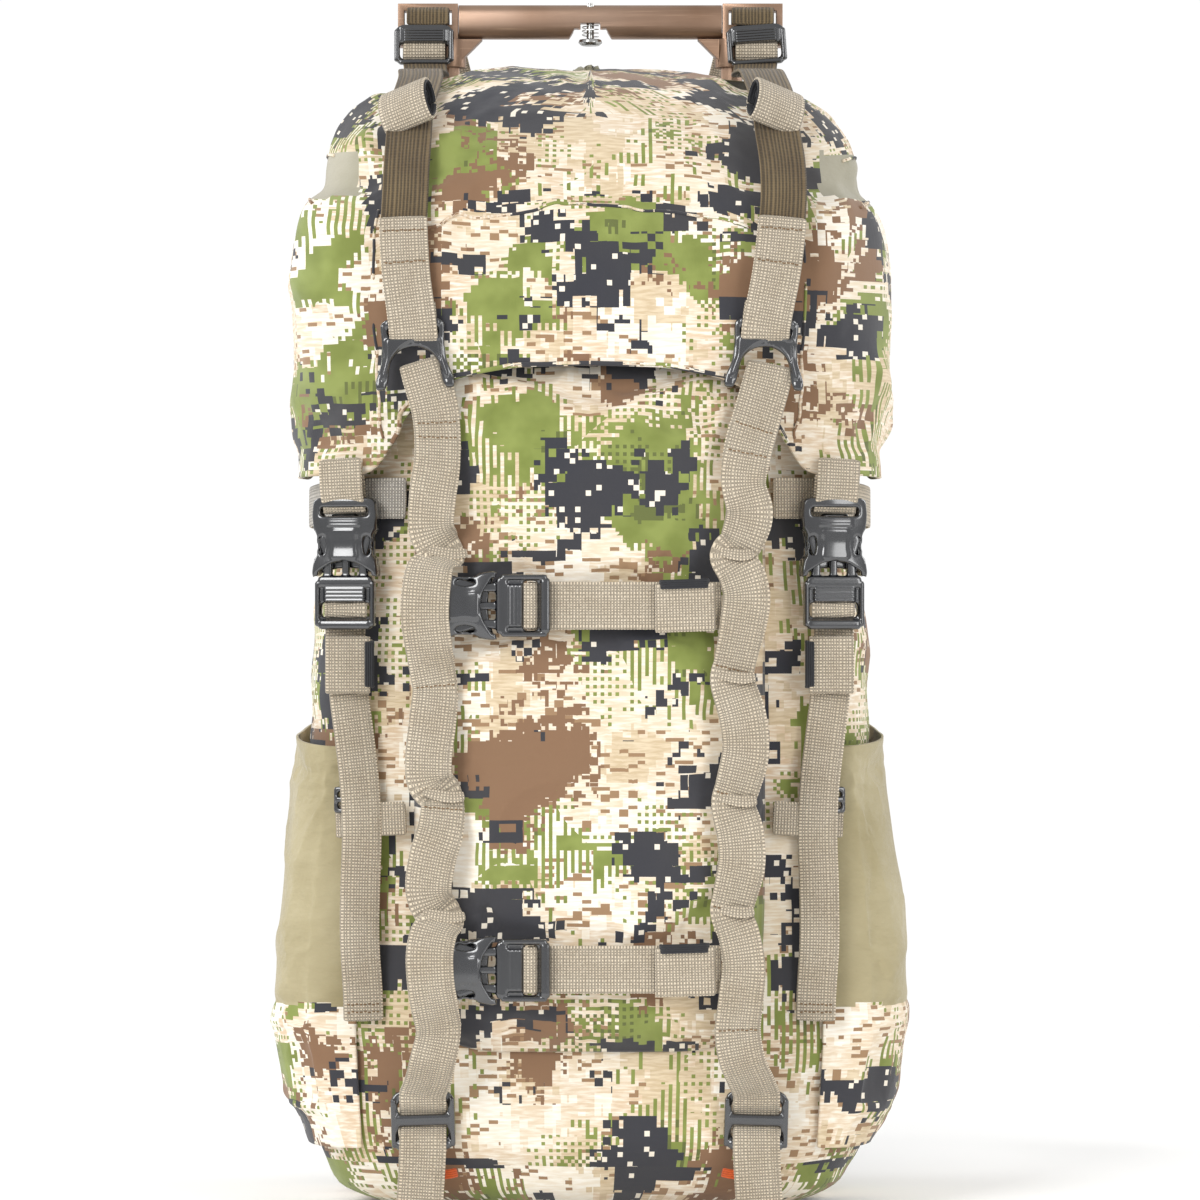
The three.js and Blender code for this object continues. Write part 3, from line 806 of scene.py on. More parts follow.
ACETAL = moulded_plastic("black_acetal", "15171c", 0.22, grain=0.1, coat=1.0)
NYLON = moulded_plastic("black_nylon", "1b1b1c", 0.5)
BRONZE = anodised("bronze_anodised", "a88d7a", "8c6e58", 0.34)
STEEL = turned_steel("turned_steel")
CARBON = carbon_weave("carbon_tube")


# ------------------------------------------------------------------ the bag's cloth
# Height, half width, front and back of the bag, as the CAD has them.
BAG = np.array([
    (0, 112, -72, 72), (10, 138, -100, 80), (34, 150, -116, 85), (90, 154, -118, 85), (300, 153, -113, 85),
    (395, 146, -112, 85), (480, 141, -108, 85), (520, 137, -104, 85), (558, 129, -95, 85),
], float)
LID = np.array([
    (392, 158, -126, 84), (450, 160, -142, 84), (505, 160, -145, 84), (532, 156, -139, 84), (550, 143, -127, 82),
    (575, 139, -107, 79), (597, 124, -74, 76), (609, 98, -40, 66), (616, 60, -6, 40),
], float)


def profile(table, z):
    """Half width, front and back at each height."""
    z = np.asarray(z, float)
    return [np.interp(z, table[:, 0], table[:, k]) for k in (1, 2, 3)]


def ring_xy(half, front, back, angle, power=4.0):
    """A point of a rounded rectangle. The angle runs from the front's middle (0) towards +X."""
    s, c = np.sin(angle), -np.cos(angle)
    bend = lambda v: np.sign(v) * np.abs(v) ** (2 / power)
    return half * bend(s), (front + back) / 2 + (back - front) / 2 * bend(c)


def even_angles(half, front, back, count):
    """Angles that space count points evenly round a ring, starting at the front's middle."""
    fine = np.linspace(0, 2 * math.pi, 4001)
    x, y = ring_xy(half, front, back, fine)
    run = np.concatenate([[0], np.cumsum(np.hypot(np.diff(x), np.diff(y)))])
    at = np.linspace(0, run[-1], count + 1)[:-1]
    return np.interp(at, run, fine), at


def bag_wall(heights, count):
    """The bag's wall: rings at heights. Its cloth runs round from the front's middle."""
    angles, run = even_angles(*BAG[len(BAG) // 2][1:], count)
    around = np.where(run > run[-1] / 2, run - run[-1] - run[1], run)
    verts, fab = [], []
    for z in heights:
        x, y = ring_xy(*profile(BAG, z), angles)
        verts.append(np.stack([x, y, np.full(count, z)], 1))
        fab.append(np.stack([around * MM, np.full(count, z) * MM, np.zeros(count)], 1))
    return verts, fab, angles


def main_bag():
    heights = list(np.concatenate([[0.4, 3, 7, 12, 18, 26, 34], np.arange(42, 556, 7.5), [557.5]]))
    count = 168
    verts, fab, angles = bag_wall(heights, count)
    # the base: rings that close towards the middle
    base_v, base_f = [], []
    for shrink in (0.985, 0.93, 0.8, 0.6, 0.35, 0.12):
        ring = verts[0].copy()
        ring[:, :2] *= shrink
        ring[:, 2] = 0.3 + (0.6 if 0.3 < shrink < 0.9 else 0.0)
        base_v.append(ring)
        base_f.append(np.stack([ring[:, 0] * MM, ring[:, 1] * MM - 0.2, np.zeros(count)], 1))
    # the mouth: turns over and comes down inside as a lining
    inner_v, inner_f = [], []
    for z in [557.8] + list(np.arange(548, 14, -22.0)):
        half, front, back = profile(BAG, max(z, 12))
        inset = 4.4 if z > 550 else 9.5
        x, y = ring_xy(half - inset, front + inset, back - inset, angles)
        inner_v.append(np.stack([x, y, np.full(count, z)], 1))
        inner_f.append(fab[-1] * [1, 1, 0] + [0, 0.02, 0])
    for shrink in (0.8, 0.5, 0.15):
        ring = inner_v[-1].copy()
        ring[:, :2] *= shrink
        ring[:, 2] = 5.2
        inner_v.append(ring)
        inner_f.append(inner_f[-1])
    rows = list(reversed(base_v)) + verts + inner_v
    cloth = list(reversed(base_f)) + fab + inner_f
    n_rows = len(rows)
    all_v = np.concatenate(rows)
    faces = grid_faces(n_rows, count, closed=True)
    tags = np.repeat([2] * (len(base_v) + 5) + [0] * (len(verts) - 5) + [1] * (len(inner_v) - 1), count)
    faces += cap_faces(0, count) + cap_faces((n_rows - 1) * count, count, flip=True)
    tags = np.concatenate([tags, [2] * (count // 2 - 1), [1] * (count // 2 - 1)])
    obj = make_mesh("main_bag_cloth", all_v, faces, np.concatenate(cloth))
    paint(obj, tags, 3)
    face_outwards(obj)
    co = points_of(obj)
    outer = np.zeros(len(co))
    first = len(base_v) * count
    outer[first : first + len(verts) * count] = 1
    z = co[:, 2] / MM
    # folds: horizontal slumps low down and on the sides, finer wrinkles everywhere, calm at the back
    slump = fold_noise(co, 9, 3, (0.7, 0.7, 3.0))
    fine = fold_noise(co, 26, 4, (1, 1, 1.6))
    pleat = creases(co, 14, 5, (0.6, 0.6, 2.2))
    calm = smoothstep(0.07, 0.03, co[:, 1]) * smoothstep(556, 530, z) * smoothstep(2, 22, z)
    depth = np.clip(slump * 2.4 + fine * 0.9 + pleat * 2.2 - 3.0, -6.5, 0.4) * calm * outer
    # seams round the foot
    seam = bulge(z, 36, 2.2) * 1.6 + bulge(z, 86, 2.0)
    depth -= seam * outer
    shift_out(obj, depth)
    subdivide(obj)
    finish_piece(obj, "pack", [CAMO_BAG, LINING, CAMO_FOOT], ["main_bag"])


main_bag()


# ------------------------------------------------------------------ the front pocket
POCKET_FACE = -148.4  # the cloth stays behind this plane, so that the cross straps lie clear of it


def rounded_grid(nx, nz, power):
    """A square grid, how far out each point is, and the factor that rounds the square's outline."""
    U, V = np.meshgrid(np.linspace(-1, 1, nx), np.linspace(-1, 1, nz))
    r = np.maximum(np.abs(U), np.abs(V))
    norm = (np.abs(U) ** power + np.abs(V) ** power) ** (1 / power)
    return U, V, r, np.where(norm > 0, r / np.maximum(norm, 1e-9), 1)


def front_pocket():
    """A shallow box of cloth between the lash straps, full in the middle and drawn in at its seams."""
    nx, nz = 96, 170
    half, low, high = 93.0, 88.0, 470.0
    mid, tall = (low + high) / 2, (high - low) / 2
    U, V, r, k = rounded_grid(nx, nz, 7.0)
    X, Z = U * k * half, mid + V * k * tall
    edge = np.clip(1 - r, 0, 1)
    # distance in from the edge, in mm, sets the depth: a steep side, then a crowned face
    inn = edge * min(half, tall)
    side = 1 - np.exp(-((inn / 5.5) ** 1.25))
    _, bag_front, _ = profile(BAG, Z)
    bag_y = bag_front + (np.abs(X) / 150.0) ** 4 * 30 + 1.0
    face = -139.5 - 6.0 * (1 - (X / half) ** 2) * (1 - ((Z - mid) / tall) ** 4)
    face += 3.0 * smoothstep(130, 92, Z) + 7.0 * smoothstep(420, 450, Z)
    Y = bag_y + (face - bag_y) * side
    verts = np.stack([X, Y, Z], -1).reshape(-1, 3)
    fab = np.stack([X * MM * 1.04, Z * MM * 1.02, np.zeros_like(X)], -1).reshape(-1, 3)
    obj = make_mesh("front_pocket_cloth", verts, grid_faces(nz, nx), fab)
    face_outwards(obj)
    if (normals_of(obj)[nz // 2 * nx + nx // 2])[1] > 0:
        obj.data.flip_normals()
    X1, Z1 = X.ravel(), Z.ravel()
    inn1 = inn.ravel()
    strap_line = bulge(np.abs(X1), 81, 9.0)
    cross = sum(bulge(Z1, c, 11.0) for c in (324, 134))
    pin = np.clip(strap_line * 0.9 + cross * 0.75, 0, 1)
    pin[inn1 < 1.5] = 1
    puff(obj, pin, pressure=3.0, frames=14, cap=4.0, bending=0.4, shrink=-0.02)
    co = points_of(obj)
    inside = smoothstep(1, 12, inn1)
    # wrinkles: folds pulled towards the two cross straps, vertical drapes between them
    pull = creases(co, 13, 21, (1.5, 1, 0.8)) * 3.0 + fold_noise(co, 10, 22, (1.4, 1, 1)) * 2.2
    pull += fold_noise(co, 30, 24, (1, 1, 1.5)) * 0.9 + creases(co, 26, 25, (0.7, 1, 1.6)) * 1.0
    press = strap_line + cross * 1.5
    depth = (pull * (1 - 0.5 * strap_line) - 2.6 - press * 1.6) * inside
    depth -= bulge(co[:, 2] / MM, 103, 2.2) * 1.4 * inside
    shift_out(obj, depth)
    co = points_of(obj)
    co[:, 1] = np.maximum(co[:, 1], POCKET_FACE * MM)
    set_points(obj, co)
    subdivide(obj)
    thicken(obj, 1.2)
    finish_piece(obj, "pack", CAMO, ["front_pocket"])


front_pocket()


# ------------------------------------------------------------------ the side pockets
POCKET = np.array([
    (34, 151.5, -119, 87), (56, 163, -120, 87), (100, 170.5, -121, 87), (140, 170, -120, 87), (180, 166, -119, 87),
    (225, 160.5, -118, 87), (262, 157.5, -117, 87),
], float)


FOOT_SEAM = 112  # where the stretch cloth meets the camouflage foot


def side_pocket(name, side):
    """Stretch cloth over a camouflage foot; it hugs the bag at its front and back edges."""
    rows, cols = 92, 84
    s = np.linspace(-1, 1, cols)
    verts = []
    t = np.linspace(0, 1, rows)
    room = []
    for v in t:
        # the mouth is higher at the back than at the front
        line = []
        for w in s:
            angle = math.pi / 2 * (0.97 + 0.53 * w)  # round the side, front (-1) to back (+1)
            top = 254 + 8 * w + 3 * w * w
            z = 36 + (top - 36) * v
            half, front, back = profile(POCKET, z)
            bag_half, bag_front, bag_back = profile(BAG, z)
            x, y = ring_xy(half, front, back, angle, 4.6)
            close = smoothstep(0.80, 1.0, abs(w))
            bx, by = ring_xy(bag_half + 1.6, bag_front - 1.6, bag_back + 1.2, angle, 4.0)
            x = float(x * (1 - close) + bx * close)
            y = float(y * (1 - close) + by * close)
            line.append((side * x, y, z))
            flank = smoothstep(0.74, 0.94, math.sin(angle))
            gap = 1.8 + (float(half - bag_half) - 1.8) * flank
            room.append(max(gap, 1.0) * (1 - close) + 0.8 * close)
        verts.append(line)
    room = np.array(room)
    V = np.array(verts)
    run = np.concatenate([[0], np.cumsum(np.linalg.norm(np.diff(V[rows // 2], axis=0), axis=1))])
    F = np.stack(np.broadcast_arrays(run[None, :] * MM * side, V[:, :, 2] * MM, 0.0 * V[:, :, 0]), -1)
    obj = make_mesh(f"side_pocket_cloth_{name}", V.reshape(-1, 3), grid_faces(rows, cols), F.reshape(-1, 3))
    face_outwards(obj)
    if normals_of(obj)[rows // 2 * cols + cols // 2][0] * side < 0:
        obj.data.flip_normals()
    co = points_of(obj)
    T = np.repeat(t, cols)
    S = np.tile(s, rows)
    pin = np.clip(smoothstep(0.88, 0.97, np.abs(S)) + smoothstep(0.06, 0.02, T) + smoothstep(0.95, 0.985, T), 0, 1)
    puff(obj, pin, pressure=1.5, frames=12, cap=2.5, bending=0.3, shrink=-0.015)
    co = points_of(obj)
    z = co[:, 2] / MM
    free = smoothstep(1.0, 0.86, np.abs(S)) * smoothstep(0, 0.05, T) * smoothstep(1.0, 0.95, T)
    hang = creases(co, 9, 31 + side, (1.0, 1.0, 0.5)) * 3.4
    drape = fold_noise(co, 10, 33 + side, (1.2, 1.2, 0.7)) * 2.2
    slack = creases(co, 13, 35 + side, (0.7, 0.7, 1.7)) * 2.0
    depth = np.maximum((hang + drape + slack - 4.2) * free, 0.6 - room)
    depth -= bulge(z, FOOT_SEAM, 2.0) * 1.6
    depth += smoothstep(0.93, 0.97, T) * 0.9
    depth -= bulge(T, 0.93, 0.008) * 0.9
    shift_out(obj, depth)
    paint(obj, (face_centres(obj)[:, 2] < FOOT_SEAM) * 1, 2)
    subdivide(obj)
    thicken(obj, 1.4)
    finish_piece(obj, "pack", [STRETCH, CAMO_FOOT], [f"side_pocket_{name}"])


for name, side in SIDES:
    side_pocket(name, side)


# ------------------------------------------------------------------ the lid
def smooth_row(values, times=3):
    out = np.asarray(values, float)
    for _ in range(times):
        out = (np.roll(out, 1) + 2 * out + np.roll(out, -1)) / 4
    return out


def top_seam(x):
    """The height of the arched seam between the lid's front and its top panel."""
    return 539 - 0.0019 * (x - 5) ** 2


def lid():
    """The hooded lid: one cloth from its hem, up over the crown, to the middle of the top."""
    count, rows = 232, 92
    angles, _ = even_angles(160, -142, 84, count)
    x0, y0 = ring_xy(160, -142, 84, angles)
    # where the cloth ends below: an arch over the front pocket, a wing each side, a slope to the hinge
    arch = np.interp(np.abs(x0), [0, 40, 72, 90, 101, 108, 113], [450, 449, 443, 433, 420, 404, 393])
    slope = np.interp(y0, [-14, 20, 44, 66, 80, 84], [393, 470, 545, 582, 588, 589])
    low = np.where((y0 < -60), np.where(np.abs(x0) < 113, arch, 393), np.maximum(393, slope))
    low = smooth_row(low, 4)
    # the profile from the hem to the crown, as a length
    knots = np.vstack([LID[:1] * [0, 1, 1, 1] + [388, 0, 0, 0], LID, [618.5, 0.5, 14, 16]])
    steps = np.hypot(np.diff(knots[:, 0]), 0.55 * (-np.diff(knots[:, 1])) + 0.6 * np.diff(knots[:, 2]))
    length = np.concatenate([[0], np.cumsum(np.maximum(steps, 2))])
    curve, _ = spline(np.column_stack([knots, length]), 1.0)
    table = curve[:, :4]
    key = curve[:, 4]
    start = np.interp(low, table[:, 0], key)
    verts = []
    for t in np.linspace(0, 1, rows):
        k = start + (key[-1] - start) * t
        z, half, front, back = [np.interp(k, key, table[:, c]) for c in range(4)]
        x, y = ring_xy(half, front, back, angles)
        verts.append(np.stack([x, y, z], 1))
    V = np.array(verts)
    # the print lies on each panel as it was cut: front and wings straight up, the top panel level
    X, Y = V[:, :, 0], V[:, :, 1]
    climb = np.concatenate([np.zeros((1, count)), np.cumsum(np.linalg.norm(np.diff(V, axis=0), axis=2), axis=0)])
    F = np.stack([X * MM * 1.03 + np.sign(X) * np.maximum(Y + 90, 0) * MM * 0.8, (low[None, :] + climb) * MM,
                  0 * X], -1)
    faces = grid_faces(rows, count, closed=True) + cap_faces((rows - 1) * count, count, flip=True)
    obj = make_mesh("lid_cloth", V.reshape(-1, 3), faces, F.reshape(-1, 3))
    face_outwards(obj)
    co = points_of(obj)
    if normals_of(obj)[(rows // 2) * count][1] > 0:
        obj.data.flip_normals()
    t1 = np.repeat(np.linspace(0, 1, rows), count)
    x, y, z = (co / MM).T
    strap_x = np.interp(z, [468, 500, 553, 595, 621], [92, 96, 98.5, 96, 92])
    strap = bulge(np.abs(x), strap_x, 13.5) * (y < 70)
    pin = np.clip(strap * 0.8 + smoothstep(0.05, 0.0, t1) + smoothstep(40, 66, y) * 0.8, 0, 1)
    puff(obj, pin, pressure=2.5, frames=14, cap=3.5, bending=0.4, shrink=-0.01)
    co = points_of(obj)
    x, y, z = (co / MM).T
    seam_z = top_seam(x)
    calm = smoothstep(0.0, 0.06, t1)
    wing = smoothstep(104, 118, np.abs(x))
    slump = creases(co, 10, 41, (0.5, 1, 1.5)) * 3.4 + fold_noise(co, 8, 42) * 2.8
    fine = fold_noise(co, 28, 43, (1, 1, 1.4)) * 1.0 + creases(co, 20, 44, (1.4, 1, 0.6)) * 1.2
    gather = np.sin(x / 4.4 + 2.2 * np.sin(x / 17.0)) * bulge(z, 612, 5.0) * (y < 5) * 0.9
    drop = fold_noise(co, 13, 45, (1.0, 1.0, 0.45)) * 1.6 * wing
    depth = (slump + fine + gather + drop - 3.6) * calm
    depth -= bulge(z, seam_z, 1.6) * 1.5 * (np.abs(x) < 118)
    depth -= strap * 1.2
    depth -= bulge(np.abs(x), 116, 1.8) * 1.1 * (z < 534) * (y < -100)
    # the side gusset is drawn in under the crown
    depth -= bulge(z, 549, 6.0) * (np.abs(x) > 112) * 2.5
    depth -= bulge(t1, 0.045, 0.006) * 0.9 + bulge(t1, 0.015, 0.006) * 0.5
    # the hem turns in towards the bag
    tuck = smoothstep(0.10, 0.0, t1) * (y < -60)
    co = co + normals_of(obj) * (depth * MM)[:, None]
    # the sloping edge behind the wings lies close to the bag
    hug = smoothstep(0.15, 0.0, t1) * smoothstep(-30, 10, y) * (np.abs(x) > 90)
    near = (profile(BAG, np.minimum(z, 556))[0] + 3.0) / profile(LID, z)[0]
    co[:, 0] *= 1 - hug * (1 - np.minimum(near, 1))
    co[:, 1] += tuck * 0.0008
    set_points(obj, co)
    cx, cy, cz = face_centres(obj).T
    tags = np.where((cz > top_seam(cx)) & ((np.abs(cx) < 118) | (cz > 545)), 1, 0)
    tags = np.where((np.abs(cx) > 122) & (cz > 541) & (cz < 566) & (cy > -112), 2, tags)
    paint(obj, tags, 4)
    subdivide(obj)
    modify(obj, "SOLIDIFY", thickness=2.6 * MM, offset=-1, use_even_offset=False, material_offset=3)
    settle(obj)
    finish_piece(obj, "lid", [CAMO_LID, CAMO_TOP, GUSSET, LINING], ["lid"])
    return obj


CAMO_LID = camouflage("camouflage_lid", 1.6)
lid_cloth = lid()


def seam_on(obj, name, rows, radius, body, material, lift=0.2):
    """A corded seam laid on a cloth's surface."""
    laid = []
    for row in rows:
        _, at, normal, _ = obj.closest_point_on_mesh(Vector(row) * MM)
        laid.append(tuple((at / MM) + normal * lift))
    return piping(name, laid, radius, body, material, closed=False)


def lid_hem():
    """The turned edge along the arch over the front pocket."""
    x = np.linspace(-108, 108, 60)
    z = np.interp(np.abs(x), [0, 40, 72, 90, 101, 108], [451.2, 450.2, 444.2, 434.2, 421.2, 405.2])
    seam_on(lid_cloth, "lid_hem_roll", [(a, -141, b) for a, b in zip(x, z)], 1.3, "lid", CAMO_LID,
            lift=0.0)


def lid_seams():
    front = [(x, -140, top_seam(x)) for x in np.linspace(-86, 86, 44)]
    seam_on(lid_cloth, "lid_seam_front", front, 0.9, "lid", CAMO_LID)
    for name, side in SIDES:
        edge = [(side * 113, -134, z) for z in np.linspace(410, 536, 30)]
        seam_on(lid_cloth, f"lid_seam_side_{name}", edge, 0.8, "lid", CAMO_LID)
        crown = [(side * 150, y, 541.5) for y in np.linspace(-100, 30, 32)]
        seam_on(lid_cloth, f"lid_seam_wing_{name}", crown, 0.9, "lid", CAMO_LID)
        brow = [(side * 146, y, 567.0) for y in np.linspace(-84, 44, 32)]
        seam_on(lid_cloth, f"lid_seam_brow_{name}", brow, 0.9, "lid", CAMO_TOP)


lid_seams()
lid_hem()


def lid_hinge_panel():
    """Cloth behind the lid and round its back corners, from the bag's rim up to the lid's edge."""
    angles, _ = even_angles(151, -116, 84, 400)
    x0, y0 = ring_xy(151, -116, 84, angles)
    back = angles[y0 > 42]
    x0, y0 = x0[y0 > 42], y0[y0 > 42]
    order = np.argsort(np.arctan2(x0, y0))
    back, y0 = back[order], y0[order]
    rim, front, rear = profile(BAG, 551.0)
    low_x, low_y = ring_xy(rim - 1.0, front, rear - 0.8, back)
    top_z = np.interp(y0, [42, 52, 66, 80, 84], [555, 568, 588, 594, 596])
    half, front, rear = profile(LID, top_z)
    top_x, top_y = ring_xy(np.minimum(half, rim + 3) - 6.0, front, rear - 7.5, back)
    run = np.concatenate([[0], np.cumsum(np.hypot(np.diff(low_x), np.diff(low_y)))])
    verts, fab = [], []
    for v in np.linspace(0, 1, 26):
        z = 551 + v * (top_z - 551)
        verts.append(np.stack([low_x + v * (top_x - low_x), low_y + v ** 1.4 * (top_y - low_y), z], 1))
        fab.append(np.stack([run * MM + 0.3, z * MM + 1.0, 0 * run], 1))
    obj = make_mesh("lid_hinge_panel", np.concatenate(verts), grid_faces(26, len(back)), np.concatenate(fab))
    face_outwards(obj)
    thicken(obj, 1.4)
    finish_piece(obj, None, CAMO_BAG)
    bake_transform(obj)


lid_hinge_panel()


# ------------------------------------------------------------------ moulded webbing hardware
def mirrored(points):
    return points + [(-x, y) for x, y in reversed(points)]


def ribs(count, y0, pitch, half, high, z0, z1, radius=0.2, bevel=0.3):
    """Finger ridges across a bar."""
    rows = [y0 + i * pitch for i in range(count)]
    return [plate([rect(-half, y - high, half, y + high)], z0, z1, bevel, radius) for y in rows]


def rail(s, x0, x1, y0, y1, z0, z1, bevel, radius):
    """A bar along one side of a fitting: s is -1 at the left and 1 at the right."""
    left, right = sorted((s * x0, s * x1))
    return plate([rect(left, y0, right, y1)], z0, z1, bevel, radius)


def rails(*sizes):
    """The same bar at both sides."""
    return [rail(-1, *sizes), rail(1, *sizes)]


def ladder_lock_shape():
    """A ladder lock face on: rounded frame, ribbed top bar, two webbing slots and a thick foot bar."""
    frame = plate([mirrored([(0, 16), (12.5, 16), (16.4, 13), (16.8, -11.5), (13, -16), (0, -16)]),
                   rect(-13.2, 3.4, 13.2, 10.6), rect(-13.2, -9.6, 13.2, -2.4)], -2.2, 2.0, 0.9, 3.0)
    parts = [frame]
    parts += ribs(4, 11.4, 1.25, 10.5, 0.34, 1.6, 2.7)
    parts.append(plate([rect(-14.4, -15.4, 14.4, -10.2)], -2.6, 3.2, 1.4, 2.2))
    parts.append(plate([rect(-14.0, -2.6, 14.0, 3.4)], -1.8, 2.7, 1.1, 1.4))
    parts += rails(14.2, 16.9, -14, 12, -1.6, 2.9, 1.0, 1.2)
    return moulded("ladder_lock", parts, voxel=0.55)


def bar_lock_shape():
    """The same lock hanging tilted: a ribbed lifting bar above one open slot."""
    frame = plate([mirrored([(0, 11.4), (12.8, 11.4), (16.4, 8.8), (16.8, -8.4), (13.4, -11.4), (0, -11.4)]),
                   rect(-13.6, -8.0, 13.6, 0.6)], -2.2, 2.0, 0.9, 2.4)
    parts = [frame, plate([rect(-13.4, 1.0, 13.4, 9.8)], -1.8, 2.8, 1.2, 1.6)]
    parts += ribs(5, 2.2, 1.5, 11.4, 0.42, 2.2, 3.8)
    parts.append(plate([rect(-14.4, -11.4, 14.4, -8.2)], -2.4, 3.2, 1.3, 1.6))
    parts += rails(13.8, 16.9, -9.6, 8.6, -1.8, 3.2, 1.1, 1.2)
    return moulded("bar_lock", parts, voxel=0.5)


def female_shape():
    """A saddle-shaped socket with horns at its mouth and a waist with windows for the arms."""
    side = [(16.2, 2.6), (17.4, 0.4), (18.2, 3.5), (17.2, 9.5), (15.0, 13.5), (14.2, 17.5), (15.2, 22.5),
            (17.4, 28.0), (18.0, 34.0), (17.2, 41.5), (14.5, 43.2)]
    arch = [(12.6, 5.2), (7.0, 8.6), (0, 9.8)]
    outline = [(0, 43.2)] + [(x, y) for x, y in reversed(side)] + arch
    window = [(11.4, 12.4), (14.6, 13.8), (13.9, 17.5), (14.8, 21.6), (11.2, 23.2), (10.2, 18.0)]
    face = plate([mirrored(outline[::-1])[: 2 * len(outline)], rect(-13.0, 33.4, 13.0, 38.0),
                  window, [(-x, y) for x, y in reversed(window)]], 2.6, 5.6, 1.2, 1.6)
    back_arch = [(12.6, 3.6), (7.0, 5.4), (0, 6.0)]
    outline = [(0, 43.0)] + [(x * 0.99, y) for x, y in reversed(side)] + back_arch
    back = plate([mirrored(outline[::-1])[: 2 * len(outline)], rect(-13.0, 33.4, 13.0, 38.0)], -5.4, -2.8, 1.0, 1.6)
    parts = [face, back]
    for s in (-1, 1):
        parts.append(rail(s, 14.6, 17.2, 1.6, 11.2, -5.0, 5.2, 1.1, 1.2))
        parts.append(rail(s, 14.2, 17.4, 25.4, 42.0, -5.0, 5.2, 1.2, 1.4))
        parts.append(rail(s, 13.9, 15.1, 9.8, 26.4, -5.0, -1.4, 0.6, 0.6))
    parts.append(plate([rect(-15.5, 27.8, 15.5, 33.2)], -5.0, 5.4, 1.6, 1.6))
    parts.append(plate([rect(-15.5, 38.2, 15.5, 43.2)], -3.6, 3.8, 1.8, 1.8))
    # a raised centre panel and finger ridges
    parts.append(plate([[(-7.6, 10.8), (7.6, 10.8), (6.4, 18), (7.8, 26.6), (-7.8, 26.6), (-6.4, 18)]], 4.8, 6.3,
                       0.7, 2.4))
    parts += ribs(3, 28.8, 1.5, 9, 0.4, 5.0, 6.2, 0.3, 0.35)
    return moulded("side_release_socket", parts, voxel=0.6, shape=dome)


def dome(co):
    """Gives a moulded face a crown across its width and a dip at its waist."""
    z = co[:, 2]
    crown = 1 - (co[:, 0] / 19.0) ** 2
    waist = np.exp(-((co[:, 1] - 18.0) / 7.0) ** 2)
    co[:, 2] = z - np.where(z > 0, 2.4 * (1 - crown) + 1.1 * waist, 0)
    return co


def male_shape():
    """Two spring arms, a centre guide and a ladder frame with a ribbed lifting bar."""
    arm = [(9.6, 24.6), (13.0, 24.0), (14.4, 20.6), (13.2, 16.8), (11.6, 12), (11.9, 4), (12.6, 0.5), (7.4, 0.5),
           (7.2, 8), (7.8, 15), (8.2, 20)]
    parts = []
    for s in (-1, 1):
        pts = [(s * x, y) for x, y in arm]
        parts.append(plate([pts if s > 0 else pts[::-1]], -2.2, 2.4, 0.9, 1.4))
    parts.append(plate([rect(-1.9, -1, 1.9, 18)], -1.8, 1.8, 0.7, 0.8))
    frame = plate([mirrored([(0, 2), (12, 2), (15.8, -1.5), (16.2, -22), (13.2, -26.6), (0, -26.6)]),
                   rect(-13.0, -20.2, 13.0, -12.2)], -2.4, 2.2, 1.0, 2.4)
    parts.append(frame)
    parts.append(plate([rect(-15.0, -4.4, 15.0, 1.6)], -2.6, 3.8, 1.4, 2.4))
    parts.append(plate([rect(-12.6, -12.6, 12.6, -4.0)], -1.6, 2.6, 1.0, 1.4))
    parts.append(plate([rect(-14.4, -26.6, 14.4, -21.4)], -2.2, 4.2, 1.6, 1.8))
    parts += ribs(4, -11.2, 2.0, 11.0, 0.6, 1.8, 4.0, 0.3, 0.4)
    parts += rails(13.6, 16.3, -25, -1, -2.0, 3.9, 1.1, 1.2)
    return moulded("side_release_plug", parts, voxel=0.55)


def hook_shape():
    """An arched hook: webbing bar above, two splayed feet below with a rounded arch between."""
    side = [(14.6, 14.4), (16.6, 12.6), (16.0, 4), (16.8, -4), (19.2, -9.5), (20.8, -13.0), (18.6, -16.2),
            (14.6, -14.8)]
    arch = [(13.4, -10), (12.4, -4.4), (9.6, -0.6), (5.4, 1.8), (0, 2.7)]
    outline = [(0, 14.4)] + side + arch
    body = plate([outline + [(-x, y) for x, y in reversed(outline[1:-1])], rect(-12.6, 7.4, 12.6, 11.0)], -2.0,
                 2.0, 1.0, 2.0)
    parts = [body, plate([rect(-14.6, 10.8, 14.6, 14.8)], -2.4, 3.0, 1.4, 1.8)]
    rib = [(14.0, 6.4), (14.4, -2), (17.2, -10), (16.0, -12), (13.4, -6), (11.4, -1.6), (7.0, 2.4), (0, 3.9),
           (0, 6.2)]
    parts.append(plate([rib + [(-x, y) for x, y in reversed(rib[:-2])] ], 1.2, 3.2, 0.8, 1.2))
    parts += rails(15.0, 20.4, -16.0, -11.6, -3.4, 2.6, 1.3, 2.0)
    return moulded("strap_hook_shape", parts, voxel=0.55)


LOCK = ladder_lock_shape()
SOCKET = female_shape()
PLUG = male_shape()
HOOK = hook_shape()
HOOK.data.transform(Matrix.Diagonal((1.02, 1.2, 1.0, 1.0)))
TILTED = bar_lock_shape()


def hardware(shape, name, at, right, up, body, node):
    """A copy of a moulded shape, in place of a CAD node."""
    piece = place(copy_of(shape, name), at, right, up)
    return finish_piece(piece, body, ACETAL, [node])


